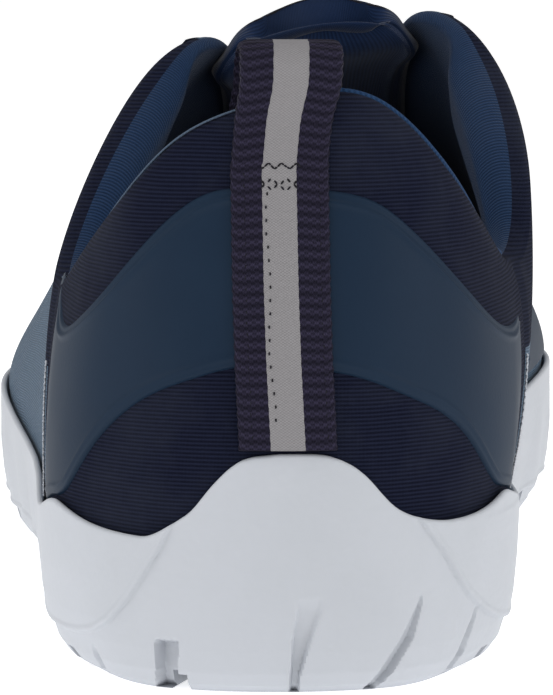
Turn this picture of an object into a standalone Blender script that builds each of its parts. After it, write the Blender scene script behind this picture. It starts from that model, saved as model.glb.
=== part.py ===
"""A left barefoot trail shoe, standing empty on its sole.

The toe points along +Y, the inner side of the foot is +X and the floor is z = 0.
The origin is the flat heel rest, under the middle of the heel.
Lengths are metres, and stations along the shoe start at the back of the heel.
"""

import collections
import math

import bmesh
import bpy
import numpy as np

MM = 0.001

# Driving sizes of the shoe
LENGTH = 282 * MM
BALL_WIDTH = 106 * MM
HEEL_WIDTH = 77.2 * MM
HEEL_HEIGHT = 91 * MM
EAR_HEIGHT = 99.5 * MM
HEEL_SEAT = 38 * MM
INSTEP_SHIFT = 5.6 * MM

# Outsole
RAND_HEIGHT = 28 * MM
HEEL_TAB_HEIGHT = 37 * MM
HEEL_TAB_CENTRE = 1.7 * MM
HEEL_TAB_FLAT = 6.5 * MM
HEEL_TAB_SLOPE = 12.5 * MM
RAND_WALL = 1.2 * MM
CUP_WALL = 2.4 * MM
BED_HEIGHT = 9 * MM
TOE_SPRING = 9 * MM
ARCH_LIFT = 1.2 * MM
PETAL_STEP = 0.8 * MM
PETAL_HEIGHT = 6.5 * MM
LUG_DEPTH = 3.2 * MM
LUG_PITCH = 16.5 * MM
CHANNEL_WIDTH = 3.2 * MM
CHANNEL_SIDE = 13 * MM
CHANNEL_BEND = 5 * MM
CHANNEL_NOTCH = 1.6 * MM
CHANNEL_CLIMB = 7.5 * MM
HEEL_GROOVE_CLIMB = 14 * MM
SOLE_ROUNDING = 3.2 * MM

# Upper, insole, tongue and overlays
GAP = 0.3 * MM
KNIT_WALL = 2.0 * MM
COLLAR_WALL = 5.4 * MM
INSOLE_THICKNESS = 3.2 * MM
OVERLAY = 0.8 * MM
EYESTAY_WIDTH = 15 * MM
BAND_TOP = 77 * MM
BAND_BOTTOM = 49.6 * MM
BAND_FRONT_TOP = 50.5 * MM
BAND_FRONT_BOTTOM = 26 * MM
TONGUE_THICKNESS = 4.5 * MM
TONGUE_RISE = 8 * MM
TONGUE_LEAN = 3 * MM
TONGUE_SAG = 2.5 * MM
TONGUE_ARCH = 0.4 * MM
TONGUE_TUCK_LOW = 14 * MM
TONGUE_TUCK_HIGH = 5 * MM
TAPE_WIDTH = 14.6 * MM
TAPE_THICKNESS = 1.6 * MM
LOOP_TOP = 99 * MM
LOOP_SEWN_HEIGHT = 80 * MM
LACE_WIDTH = 6 * MM
LACE_THICKNESS = 1.8 * MM
LACE_HOLE_INSET = 7 * MM
LACE_LAYER = 0.17 * MM
LACE_PAIRS = 6
LACE_ARCH = 2.0 * MM

# The grooves that climb the back of the heel: across as a share of HEEL_WIDTH, end as a share
# of LENGTH and climb as a share of HEEL_GROOVE_CLIMB.
Groove = collections.namedtuple("Groove", "across end climb")
HEEL_GROOVES = (
    Groove(-0.225, 0.90, 0.55),
    Groove(0.058, 0.06, 1.00),
    Groove(0.246, 0.90, 0.93),
)

# Places round the shoe are given as u: 0 at the heel, 12 at the toe tip, up the inner side,
# and on to 24, which is the heel again, down the outer side.
TIP = 12
ROUND = 2 * TIP
STEPS = (5, 5, 4, 2, 2, 2, 2, 2, 3, 3, 2, 2)
BED_RINGS = (0, 0.35, 0.7, 1)

# One row for each section, from the heel to the toe tip. Lengths along are shares of LENGTH.
# half and top_half are shares of half the width named for the row, rand of RAND_HEIGHT and
# top of HEEL_HEIGHT or EAR_HEIGHT. swell and reach are shares of half the width, rise and
# drop of the height from rand to top. hub is where the section's radius starts.
Section = collections.namedtuple(
    "Section", "along half rand top_along top_half top swell rise reach drop hub"
)
HEEL_BACK = Section(0.000, 0.000, 0.87, 0.025, 0.065, 1.000, 0.021, 0.33, 0.078, 0.30, 0.120)
HEEL_INNER = (
    Section(0.0195, 0.544, 0.89, 0.033, 0.427, 0.987, 0.026, 0.31, 0.078, 0.31, 0.128),
    Section(0.082, 0.894, 0.89, 0.085, 0.746, 0.835, 0.039, 0.31, 0.104, 0.29, 0.146),
    Section(0.170, 0.997, 0.88, 0.199, 0.974, 0.687, 0.093, 0.37, 0.117, 0.21, 0.184),
    Section(0.284, 0.958, 0.86, 0.262, 1.070, 0.846, 0.130, 0.34, 0.052, 0.26, 0.284),
)
FORE_INNER = (
    Section(0.397, 0.689, 0.86, 0.319, 0.670, 0.960, 0.094, 0.25, 0.094, 0.20, 0.372),
    Section(0.514, 0.783, 0.89, 0.344, 0.443, 1.000, 0.075, 0.30, 0.245, 0.19, 0.472),
    Section(0.624, 0.925, 0.96, 0.433, 0.358, 0.869, 0.038, 0.30, 0.264, 0.15, 0.532),
    Section(0.727, 1.004, 1.00, 0.521, 0.292, 0.739, 0.019, 0.31, 0.302, 0.15, 0.585),
    Section(0.830, 0.953, 1.00, 0.582, 0.236, 0.661, 0.009, 0.34, 0.415, 0.19, 0.597),
    Section(0.922, 0.811, 1.00, 0.606, 0.198, 0.631, 0.000, 0.37, 0.680, 0.26, 0.604),
    Section(0.977, 0.557, 1.00, 0.617, 0.157, 0.619, 0.000, 0.39, 0.980, 0.36, 0.609),
)
TOE_TIP = Section(1.000, 0.170, 1.00, 0.6206, 0.106, 0.615, 0.000, 0.38, 1.090, 0.39, 0.612)
HEEL_OUTER = (
    Section(0.0195, 0.544, 0.84, 0.028, 0.324, 0.948, 0.026, 0.32, 0.078, 0.32, 0.128),
    Section(0.082, 0.894, 0.84, 0.067, 0.645, 0.813, 0.021, 0.32, 0.117, 0.32, 0.146),
    Section(0.170, 1.000, 0.83, 0.199, 0.909, 0.645, 0.013, 0.37, 0.057, 0.21, 0.184),
    Section(0.284, 1.049, 0.82, 0.262, 0.824, 0.797, -0.013, 0.32, 0.091, 0.24, 0.284),
)
FORE_OUTER = (
    Section(0.397, 0.821, 0.82, 0.319, 0.387, 0.920, -0.009, 0.20, 0.170, 0.20, 0.372),
    Section(0.514, 0.909, 0.86, 0.344, 0.179, 0.955, -0.009, 0.23, 0.340, 0.22, 0.472),
    Section(0.624, 0.981, 0.94, 0.433, 0.094, 0.834, 0.000, 0.23, 0.340, 0.19, 0.532),
    Section(0.730, 0.958, 0.95, 0.521, 0.047, 0.719, 0.000, 0.24, 0.340, 0.18, 0.585),
    Section(0.823, 0.840, 0.95, 0.582, 0.009, 0.651, 0.000, 0.26, 0.415, 0.21, 0.597),
    Section(0.908, 0.604, 0.96, 0.606, -0.023, 0.626, 0.000, 0.31, 0.640, 0.28, 0.604),
    Section(0.970, 0.264, 0.98, 0.617, -0.057, 0.617, 0.000, 0.35, 0.905, 0.35, 0.609),
)


def closed_spline(rows):
    """A smooth closed curve with one row at each whole u. Returns a function of u."""
    rows = np.asarray(rows, float)
    count = len(rows)
    unit = np.eye(count)
    system = 4 * unit + np.roll(unit, 1, axis=1) + np.roll(unit, -1, axis=1)
    slopes = np.linalg.solve(system, 3 * (np.roll(rows, -1, axis=0) - np.roll(rows, 1, axis=0)))

    def at(u):
        first = math.floor(u)
        t = u - first
        i, j = first % count, (first + 1) % count
        ends = rows[i] * (1 + 2 * t) * (1 - t) ** 2 + rows[j] * (3 - 2 * t) * t * t
        return ends + slopes[i] * t * (1 - t) ** 2 - slopes[j] * (1 - t) * t * t

    return at


def section_row(section, side, width, height):
    half = width / 2
    return (
        side * section.half * half,
        section.along * LENGTH,
        section.rand * RAND_HEIGHT,
        side * section.top_half * half,
        section.top_along * LENGTH,
        section.top * height,
        section.swell * half,
        section.rise,
        section.reach * half,
        section.drop,
        section.hub * LENGTH,
    )


def section_rows():
    """All rows in the order of u."""
    inner = [section_row(row, 1, HEEL_WIDTH, HEEL_HEIGHT) for row in (HEEL_BACK, *HEEL_INNER)]
    inner += [section_row(row, 1, BALL_WIDTH, EAR_HEIGHT) for row in (*FORE_INNER, TOE_TIP)]
    outer = [section_row(row, -1, BALL_WIDTH, EAR_HEIGHT) for row in reversed(FORE_OUTER)]
    outer += [section_row(row, -1, HEEL_WIDTH, HEEL_HEIGHT) for row in reversed(HEEL_OUTER)]
    return inner + outer


LAST = closed_spline(section_rows())


def smooth_step(value, start, end):
    t = min(1.0, max(0.0, (value - start) / (end - start)))
    return t * t * (3 - 2 * t)


def from_heel(u):
    """How far round u lies from the heel, from 0 to 12 on either side."""
    u = u % ROUND
    return min(u, ROUND - u)


def plan(u):
    return LAST(u)[:2]


def plan_normal(u):
    ahead = plan(u + 0.01) - plan(u - 0.01)
    normal = np.array((ahead[1], -ahead[0]))
    return normal / np.linalg.norm(normal)


def hub(u):
    """The point inside the plan from which section u spreads."""
    shift = INSTEP_SHIFT * smooth_step(from_heel(u), 2, 7)
    return np.array((shift, LAST(u)[10]))


def ground(along):
    """Height of the tread under a station: flat at heel and ball, lifted at arch and toe."""
    share = along / LENGTH
    arch = smooth_step(share, 0.30, 0.37) * (1 - smooth_step(share, 0.47, 0.54))
    toe = max(0.0, (share - 0.76) / 0.24)
    return ARCH_LIFT * arch + TOE_SPRING * toe**1.8


def bed(along):
    """Height of the cup floor inside the outsole."""
    return BED_HEIGHT + 0.9 * ground(along)


def bed_point(u, share, lift=0.0):
    """A point on the cup floor, a share of the way from the hub to the cup's wall."""
    middle = hub(u)
    spread = plan(u) - plan_normal(u) * CUP_WALL - middle
    heights = [bed((middle + spread * ring)[1]) for ring in BED_RINGS]
    height = float(np.interp(share, BED_RINGS, heights))
    return np.array((*(middle + spread * share), height + lift))


def bed_share(u, inset):
    """The share at which section u comes within an inset of the cup's wall."""
    spread = plan(u) - plan_normal(u) * CUP_WALL - hub(u)
    return 1 - inset / float(spread @ plan_normal(u))


def rand_height(u):
    """Top edge of the outsole's side: a level rand, raised to a tab at the back of the heel."""
    low = LAST(u)[2]
    if from_heel(u) > 2.5:
        return low
    off = abs(plan(u)[0] - HEEL_TAB_CENTRE)
    tab = 1 - smooth_step(off, HEEL_TAB_FLAT, HEEL_TAB_FLAT + HEEL_TAB_SLOPE)
    return low + (HEEL_TAB_HEIGHT - low) * tab


def outer_point(u, s):
    """The upper's outer surface: s is -1 at its lower edge, 0 at the rand and 1 at the top."""
    row = LAST(u)
    out = plan_normal(u)
    rand_plan = row[:2] - out * (RAND_WALL + GAP)
    low = np.array((*rand_plan, row[2]))
    if s < 0:
        foot_plan = row[:2] - out * (CUP_WALL + GAP)
        foot = np.array((*foot_plan, bed(row[1]) + GAP))
        return low + (foot - low) * -s
    top = row[3:6]
    height = top[2] - low[2]
    spread = row[:2] - hub(u)
    spread = spread / np.linalg.norm(spread)
    rise = low + np.array((*(out * row[6]), row[7] * height))
    drop = top + np.array((*(spread * row[8]), -row[9] * height))
    r = 1 - s
    return low * r**3 + rise * (3 * r * r * s) + drop * (3 * r * s * s) + top * s**3


def surface_normal(u, s):
    s = min(0.98, max(-0.98, s))
    if abs(s) < 0.02:
        s = 0.02
    across = outer_point(u + 0.03, s) - outer_point(u - 0.03, s)
    upward = outer_point(u, s + 0.02) - outer_point(u, s - 0.02)
    normal = np.cross(across, upward)
    return normal / np.linalg.norm(normal)


def lifted(u, s, lift):
    """A point off the upper's outer surface, outwards for a positive lift."""
    return outer_point(u, s) + surface_normal(u, s) * lift


def share_at_height(u, height):
    """The s at which section u reaches a height."""
    shares = np.linspace(0, 1, 41)
    heights = [outer_point(u, s)[2] for s in shares]
    return float(np.interp(height, heights, shares))


def share_below_top(u, distance):
    """The s that lies a distance down the surface from the top edge."""
    shares = np.linspace(0, 1, 41)
    points = np.array([outer_point(u, s) for s in shares])
    lengths = np.append(0, np.cumsum(np.linalg.norm(np.diff(points, axis=0), axis=1)))
    return float(np.interp(lengths[-1] - distance, lengths, shares))


def wall(u, s):
    """Thickness of the upper: thin knit below, a padded roll round the collar."""
    padded = 1 - smooth_step(from_heel(u), 4.6, 6.0)
    high = smooth_step(s, 0.45, 0.85)
    return KNIT_WALL + (COLLAR_WALL - KNIT_WALL) * padded * high


def columns():
    """The values of u at which every piece has its points, closer together at the heel."""
    half = []
    for section, steps in enumerate(STEPS):
        half += [section + step / steps for step in range(steps)]
    return half + [TIP] + [ROUND - u for u in reversed(half[1:])]


COLUMNS = columns()


def columns_between(start, end):
    """Columns from start to end, both included, where start may be below 0 for the outer side."""
    inside = [u + turn for turn in (-ROUND, 0) for u in COLUMNS if start < u + turn < end]
    return [start, *inside, end]


def new_object(name, mesh, colour, roughness):
    material = bpy.data.materials.new(name + "_finish")
    material.use_nodes = True
    shader = material.node_tree.nodes["Principled BSDF"]
    shader.inputs["Base Color"].default_value = (*colour, 1)
    shader.inputs["Roughness"].default_value = roughness
    mesh.materials.append(material)
    mesh.shade_smooth()
    mesh.set_sharp_from_angle(angle=math.radians(35))
    piece = bpy.data.objects.new(name, mesh)
    bpy.context.scene.collection.objects.link(piece)
    return piece


def mesh_from(name, bm):
    bmesh.ops.recalc_face_normals(bm, faces=bm.faces)
    mesh = bpy.data.meshes.new(name)
    bm.to_mesh(mesh)
    bm.free()
    return mesh


def skin(bm, rows, closed):
    """Quads between rows of vertices. A closed row joins its last vertex to its first."""
    for low, high in zip(rows, rows[1:]):
        count = len(low)
        for i in range(count if closed else count - 1):
            j = (i + 1) % count
            corners = [low[i], low[j], high[j], high[i]]
            corners = list(dict.fromkeys(corners))
            if len(corners) > 2 and not bm.faces.get(corners):
                bm.faces.new(corners)


def add_row(bm, points):
    return [bm.verts.new(point) for point in points]


def folded_row(bm, points):
    """A row along the middle of the shoe, whose two sides share their vertices."""
    half = add_row(bm, points[: len(points) // 2 + 1])
    return half + half[-2:0:-1]


def plate(bm, front, back):
    """A closed plate between two grids of points with the same rows and columns."""
    front = [add_row(bm, row) for row in front]
    back = [add_row(bm, row) for row in back]
    skin(bm, front, closed=False)
    skin(bm, back, closed=False)
    skin(bm, [front[0], back[0]], closed=False)
    skin(bm, [front[-1], back[-1]], closed=False)
    for side in (0, -1):
        skin(bm, [[row[side] for row in front], [row[side] for row in back]], closed=False)


def sole_inset(above_ground):
    """How far the outsole's side lies inside its plan, rounding under towards the tread."""
    heights = np.array((0, 1.2, 3.2, 6.5, 10, 16, 22, 60)) * MM
    insets = np.array((6.2, 3.9, 2.4, 1.4, 0.8, 0.25, 0, 0)) * MM
    return float(np.interp(above_ground, heights, insets))


def petal_edge(u):
    """Height of the step along the outsole's side, which climbs to the rand beside the tab."""
    along = plan(u)[1]
    base = ground(along) + PETAL_HEIGHT
    top = rand_height(u) - 2.6 * MM
    if from_heel(u) > 2.5:
        return base
    off = abs(plan(u)[0] - HEEL_TAB_CENTRE)
    climb = 1 - smooth_step(off, 0.42 * HEEL_WIDTH / 2, 0.86 * HEEL_WIDTH / 2)
    return base + (top - base) * climb


def sole_side(u, height, extra=0.0):
    """A point on the outsole's side. Above the rand's own height it follows the upper."""
    out = plan_normal(u)
    flat = plan(u) - out * (sole_inset(height - ground(plan(u)[1])) + extra)
    point = np.array((*flat, height))
    low = LAST(u)[2]
    if height <= low:
        return point
    share = share_at_height(u, height)
    backed = lifted(u, share, GAP + RAND_WALL - extra)
    return np.array((backed[0], backed[1], height))


def sole_rows(u):
    """The outsole's section at u, from the middle of the tread round to the cup floor."""
    along = plan(u)[1]
    out = plan_normal(u)
    middle = hub(u)
    low = ground(along)
    step = petal_edge(u)
    edge = rand_height(u)
    step_in = PETAL_STEP * (1 - 0.9 * smooth_step(step, 0.5 * edge, 0.9 * edge))
    tread = plan(u) - out * sole_inset(0)
    half_way = (tread + middle) / 2
    first = low + SOLE_ROUNDING
    inner_top = lifted(u, share_at_height(u, edge - GAP), GAP)
    inner_mid_height = LAST(u)[2] - 2.5 * MM
    depth = (LAST(u)[2] - inner_mid_height) / (LAST(u)[2] - bed(along))
    inner_mid = plan(u) - out * (RAND_WALL + (CUP_WALL - RAND_WALL) * depth)
    return [
        (*middle, ground(middle[1])),
        (*half_way, ground(half_way[1])),
        (*tread, low),
        sole_side(u, low + 1.2 * MM),
        sole_side(u, first),
        sole_side(u, first + (step - first) * 0.4, step_in),
        sole_side(u, first + (step - first) * 0.7, step_in),
        sole_side(u, step, step_in),
        sole_side(u, step + 0.5 * MM),
        sole_side(u, (step + edge) / 2),
        sole_side(u, edge - 0.8 * MM),
        sole_side(u, edge, 0.5 * MM),
        (inner_top[0], inner_top[1], edge - GAP),
        (*inner_mid, inner_mid_height),
        *(bed_point(u, share) for share in reversed(BED_RINGS)),
    ]


def channel(bm, line, width):
    """A closed upright strip along a line of plan points, each with its own top height."""
    bottom = -4 * MM
    points = np.array([point[:2] for point in line])
    ahead = np.gradient(points, axis=0)
    ahead /= np.linalg.norm(ahead, axis=1)[:, None]
    side = np.stack([-ahead[:, 1], ahead[:, 0]], axis=1) * width / 2
    front, back = [], []
    for sign, wall_rows in ((-1, front), (1, back)):
        edge = points + sign * side
        wall_rows.append([(*xy, bottom) for xy in edge])
        wall_rows.append([(*xy, point[2]) for xy, point in zip(edge, line)])
    plate(bm, front, back)


def side_exit(start, toward, depth, top):
    """Line points where a channel runs out through the outsole's side and climbs it."""
    toward = toward / np.linalg.norm(toward)
    notch = start - toward * depth
    return [
        (*(notch - toward * 0.4 * MM), LUG_DEPTH),
        (*notch, top),
        (*(start + toward * 3 * MM), top),
    ]


def u_at_station(along, inner):
    """The u on one side of the plan that lies at a station along the shoe."""
    us = np.linspace(0, TIP, 241)
    if not inner:
        us = ROUND - us
    stations = [plan(u)[1] for u in us]
    return float(np.interp(along, stations, us))


def cross_channels(bm):
    """Arrow-shaped channels across the tread, out through both sides."""
    first = HEEL_SEAT - 0.5 * LUG_PITCH - CHANNEL_BEND
    for along in np.arange(first, 0.93 * LENGTH, LUG_PITCH):
        lift = ground(along)
        top = LUG_DEPTH + lift
        sides = []
        for inner in (False, True):
            u = u_at_station(along, inner)
            edge = plan(u) - plan_normal(u) * sole_inset(2 * MM)
            outward = np.array((1 if inner else -1, -0.35))
            points = side_exit(edge, outward, CHANNEL_NOTCH, CHANNEL_CLIMB + lift)
            points[0] = (*points[0][:2], top)
            sides.append(points)
        middle = (INSTEP_SHIFT / 2, along + CHANNEL_BEND, top + 0.2 * MM)
        channel(bm, [*reversed(sides[0]), middle, *sides[1]], CHANNEL_WIDTH)


def long_channels(bm):
    """Two channels along the tread that climb the back of the heel, and one between them."""
    us = np.linspace(-2, 2, 81)
    xs = [plan(u)[0] for u in us]
    for groove in HEEL_GROOVES:
        x = groove.across * HEEL_WIDTH
        end = groove.end
        climb = groove.climb * HEEL_GROOVE_CLIMB
        u = float(np.interp(x, xs, us))
        back = plan(u) - plan_normal(u) * sole_inset(6 * MM)
        line = list(reversed(side_exit(back, np.array((0.0, -1.0)), 0.8 * CHANNEL_NOTCH, climb)))
        aim = math.copysign(CHANNEL_SIDE, x) + 0.31 * INSTEP_SHIFT
        for share in (0.06, 0.2, 0.4, 0.6, 0.76, 0.83, 0.9):
            if share <= end:
                across = x if end < 0.1 else aim
                top = LUG_DEPTH + 0.1 * MM + ground(share * LENGTH)
                line.append((across, share * LENGTH, top))
        channel(bm, line, CHANNEL_WIDTH)


def cutter(name, fill, parent):
    bm = bmesh.new()
    fill(bm)
    piece = bpy.data.objects.new(name, mesh_from(name, bm))
    bpy.context.scene.collection.objects.link(piece)
    piece.hide_render = True
    piece.display_type = "WIRE"
    piece.parent = parent
    return piece


def make_outsole(parent):
    bm = bmesh.new()
    sections = [sole_rows(u) for u in COLUMNS]
    rows = [list(points) for points in zip(*sections)]
    last = len(rows) - 1
    made = []
    for number, points in enumerate(rows):
        make = folded_row if number in (0, last) else add_row
        made.append(make(bm, points))
    skin(bm, made, closed=True)
    sole = new_object("outsole", mesh_from("outsole", bm), (0.60, 0.62, 0.66), 0.62)
    for name, fill in (("cross_channels", cross_channels), ("long_channels", long_channels)):
        cut = sole.modifiers.new(name, "BOOLEAN")
        cut.operation = "DIFFERENCE"
        cut.solver = "MANIFOLD"
        cut.object = cutter(name, fill, parent)
    return sole


def make_insole():
    bm = bmesh.new()
    inset = GAP + KNIT_WALL + 2 * GAP
    low, high = GAP, GAP + INSOLE_THICKNESS
    rings = [(share, low) for share in BED_RINGS[:-1]] + [(None, low), (None, high)]
    rings += [(share, high) for share in reversed(BED_RINGS[:-1])]
    rows = []
    for share, lift in rings:
        points = [bed_point(u, bed_share(u, inset) if share is None else share, lift) for u in COLUMNS]
        rows.append((folded_row if share == 0 else add_row)(bm, points))
    skin(bm, rows, closed=True)
    return new_object("insole", mesh_from("insole", bm), (0.03, 0.035, 0.05), 0.9)


def make_upper():
    """The hollow knitted shell: outer surface, rolled top edge, inner surface, lower edge."""
    outside = (-1, 0, 0.11, 0.23, 0.36, 0.5, 0.64, 0.77, 0.88)
    inside = (0.8, 0.64, 0.46, 0.28, 0.12, 0, -1)
    bm = bmesh.new()
    sections = []
    for u in COLUMNS:
        rim = share_below_top(u, 0.45 * wall(u, 1))
        points = [outer_point(u, s) for s in outside]
        points.append(outer_point(u, rim))
        points.append(lifted(u, 1, -0.5 * wall(u, 1)))
        points.append(lifted(u, rim, -wall(u, 1)))
        points += [lifted(u, s, -wall(u, s)) for s in inside]
        sections.append(points)
    rows = [add_row(bm, points) for points in zip(*sections)]
    skin(bm, [*rows, rows[0]], closed=True)
    return new_object("upper", mesh_from("upper", bm), (0.020, 0.026, 0.052), 0.85)


def overlay(name, us, low, high, steps, colour, roughness, lift=GAP):
    """A thin plate on the upper, between two shares of s that may change with u."""
    front, back = [], []
    for step in range(steps + 1):
        shares = [low(u) + (high(u) - low(u)) * step / steps for u in us]
        back.append([lifted(u, s, lift) for u, s in zip(us, shares)])
        front.append([lifted(u, s, lift + OVERLAY) for u, s in zip(us, shares)])
    bm = bmesh.new()
    plate(bm, front, back)
    return new_object(name, mesh_from(name, bm), colour, roughness)


def make_heel_band():
    """The heel overlay, deepest at the back and running down to the rand at its front ends."""
    front = 2.9

    def edge(u, back_height, front_height, hold):
        share = min(1.0, from_heel(u) / front)
        level = smooth_step(share, hold, 1.0) * 0.45 + max(0.0, (share - hold) / (1 - hold)) * 0.55
        height = back_height + (front_height - back_height) * level
        return share_at_height(u, height)

    us = columns_between(-front, front)
    return overlay(
        "heel_band",
        us,
        lambda u: edge(u, BAND_BOTTOM, BAND_FRONT_BOTTOM, 0.10),
        lambda u: edge(u, BAND_TOP, BAND_FRONT_TOP, 0.08),
        5,
        (0.021, 0.040, 0.066),
        0.5,
    )


def make_side_panel():
    """The smooth overlay on the inner side, from the quarter seam to the ball."""
    start, end = 3.4, 8.6

    def low(u):
        return share_at_height(u, rand_height(u) + 1.5 * MM)

    def high(u):
        share = (u - start) / (end - start)
        return low(u) + (0.10 + 0.42 * math.sin(math.pi * (0.25 + 0.72 * share)))

    us = columns_between(start, end)
    return overlay("side_panel", us, low, high, 5, (0.021, 0.040, 0.066), 0.5)


def make_eyestay():
    """The overlay round the throat that carries the lace holes."""
    start = 5.5
    us = columns_between(start, ROUND - start)
    return overlay(
        "eyestay",
        us,
        lambda u: share_below_top(u, EYESTAY_WIDTH),
        lambda u: share_below_top(u, 1.2 * MM),
        4,
        (0.012, 0.016, 0.034),
        0.6,
        lift=1.4 * GAP,
    )


def under_edge(u, distance):
    """A point inside the upper, a distance down from its top edge."""
    s = share_below_top(u, distance)
    return lifted(u, s, -wall(u, s) - 1.5 * GAP)


def tongue_row(u, tuck):
    """Points across the tongue at section u, from the outer side to the inner one."""
    other = ROUND - u
    left = [under_edge(other, tuck), under_edge(other, tuck / 2), under_edge(other, 0)]
    right = [under_edge(u, 0), under_edge(u, tuck / 2), under_edge(u, tuck)]
    between = []
    for share in (0.22, 0.5, 0.78):
        arch = np.array((0, 0, TONGUE_ARCH * 4 * share * (1 - share)))
        between.append(left[2] * (1 - share) + right[0] * share + arch)
    return np.array([*left, *between, *right])


def make_tongue():
    rows = []
    for u in (9.2, 8.7, 8.2, 7.7, 7.2, 6.7, 6.3, 6.05):
        deeper = (TONGUE_TUCK_LOW - TONGUE_TUCK_HIGH) * smooth_step(u, 6.3, 8.2)
        rows.append(tongue_row(u, TONGUE_TUCK_HIGH + deeper))
    throat = rows[-1]
    middle = throat.mean(axis=0)
    half = (throat[-1] - throat[0]) / 2
    across = np.linspace(-1, 1, len(throat))[:, None]
    for degrees, narrow in ((22, 0.86), (44, 0.77), (66, 0.64), (84, 0.48)):
        turn = math.radians(degrees)
        flat = middle + half * across * narrow
        flat[:, 2] -= TONGUE_SAG * across[:, 0] ** 2
        curved = middle + (throat - middle) * narrow
        rise = np.array((0, -TONGUE_LEAN, TONGUE_RISE)) * math.sin(turn)
        rows.append(curved + (flat - curved) * math.sin(turn) + rise)
    outer = np.array(rows)
    along = np.gradient(outer, axis=0)
    across = np.gradient(outer, axis=1)
    normals = np.cross(along, across)
    normals /= np.linalg.norm(normals, axis=2)[:, :, None]
    normals *= np.sign(normals[3, 4, 2])
    levelled = normals.mean(axis=1, keepdims=True)
    levelled /= np.linalg.norm(levelled, axis=2, keepdims=True)
    free = np.arange(len(outer))[:, None, None] > 7
    normals = normals + 3 * levelled * free
    normals /= np.linalg.norm(normals, axis=2)[:, :, None]
    edge = np.ones(outer.shape[:2])
    edge[:, (0, -1)] = 0.45
    edge[-1, :] = 0.6
    inner = outer - normals * TONGUE_THICKNESS * edge[:, :, None]
    bm = bmesh.new()
    plate(bm, list(outer), list(inner))
    return new_object("tongue", mesh_from("tongue", bm), (0.010, 0.017, 0.040), 0.85)


def heel_u(x, height):
    """The u at which the upper's back has an x at a height."""
    us = np.linspace(-1.2, 1.2, 49)
    xs = [outer_point(u, share_at_height(u, height))[0] for u in us]
    return float(np.interp(x, xs, us))


def tape_centre(height):
    """The tape runs up the heel a little aslant."""
    share = (height - HEEL_TAB_HEIGHT) / (LOOP_SEWN_HEIGHT - HEEL_TAB_HEIGHT)
    return HEEL_TAB_CENTRE - 1.2 * MM * min(1.0, share)


def tape_row(height, lift):
    """Points across the tape where it lies on the heel."""
    points = []
    for side in (-0.5, -0.17, 0.17, 0.5):
        x = tape_centre(height) + side * TAPE_WIDTH
        u = heel_u(x, height)
        points.append(lifted(u, share_at_height(u, height), lift))
    return points


def make_pull_loop():
    """The tape sewn to the heel, with a finger loop over the collar and an end inside it."""
    under = GAP + OVERLAY + GAP
    heights = np.linspace(HEEL_TAB_HEIGHT + 0.8 * MM, LOOP_SEWN_HEIGHT, 6)
    low_face = [tape_row(height, under) for height in heights]
    high_face = [tape_row(height, under + TAPE_THICKNESS) for height in heights]
    collar = outer_point(0, 1)
    inner_y = collar[1] + COLLAR_WALL + 3 * GAP
    outer_y = collar[1] - 2.4 * MM
    middle_y = (inner_y + outer_y + TAPE_THICKNESS) / 2
    bend = (inner_y - outer_y + TAPE_THICKNESS) / 2
    bend_height = LOOP_TOP - bend * 0.85
    turn = []
    for step in range(7):
        angle = math.pi * step / 6
        turn.append((middle_y - bend * math.cos(angle), bend_height + bend * 0.85 * math.sin(angle), angle))
    turn.insert(0, (outer_y - 0.6 * MM, collar[2] - 3 * MM, 0.0))
    turn.append((inner_y + TAPE_THICKNESS, collar[2] - 3 * MM, math.pi))
    turn.append((inner_y + TAPE_THICKNESS + 0.4 * MM, LOOP_SEWN_HEIGHT, math.pi))
    for y, z, angle in turn:
        facing = np.array((0, -math.cos(angle), math.sin(angle)))
        centre = tape_centre(z) + 1.2 * MM * smooth_step(z, LOOP_SEWN_HEIGHT, LOOP_TOP)
        face = [np.array((centre + side * TAPE_WIDTH, y, z)) for side in (-0.5, -0.17, 0.17, 0.5)]
        high_face.append(face)
        low_face.append([point - facing * TAPE_THICKNESS for point in face])
    bm = bmesh.new()
    plate(bm, high_face, low_face)
    return new_object("pull_loop", mesh_from("pull_loop", bm), (0.012, 0.011, 0.030), 0.8)


def lace_band(bm, points, normals):
    """A flat closed band through a few points."""
    points = np.array(points)
    normals = np.array(normals)
    ahead = np.gradient(points, axis=0)
    side = np.cross(ahead, normals)
    side /= np.linalg.norm(side, axis=1)[:, None]
    half = side * LACE_WIDTH / 2
    thick = normals * LACE_THICKNESS
    low = [points - half, points + half]
    high = [points - half + thick, points + half + thick]
    plate(bm, [list(row) for row in low], [list(row) for row in high])


def lace_path(from_u, to_u, layer):
    """Points and normals of one lace band, from a hole over the throat to the other side."""
    lift = OVERLAY + 3.9 * GAP + layer
    points, normals = [], []
    for share, distance in ((0, LACE_HOLE_INSET), (0.25, 0.5 * MM), (0.75, 0.5 * MM), (1, LACE_HOLE_INSET)):
        near = from_u if share < 0.5 else to_u
        towards = (ROUND - to_u) if share < 0.5 else (ROUND - from_u)
        part = share if share < 0.5 else 1 - share
        u = near + (towards - near) * part
        s = share_below_top(u, distance)
        points.append(lifted(u, s, lift))
        normals.append(surface_normal(u, s))
    top = (points[1] + points[2]) / 2 + np.array((0, 0, LACE_ARCH))
    normal = normals[1] + normals[2]
    points.insert(2, top)
    normals.insert(2, normal / np.linalg.norm(normal))
    for end, beside in ((0, 1), (-1, -2)):
        outward = points[end] - points[beside]
        points[end] = points[end] + outward / np.linalg.norm(outward) * 8 * layer
    return points, normals


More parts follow.
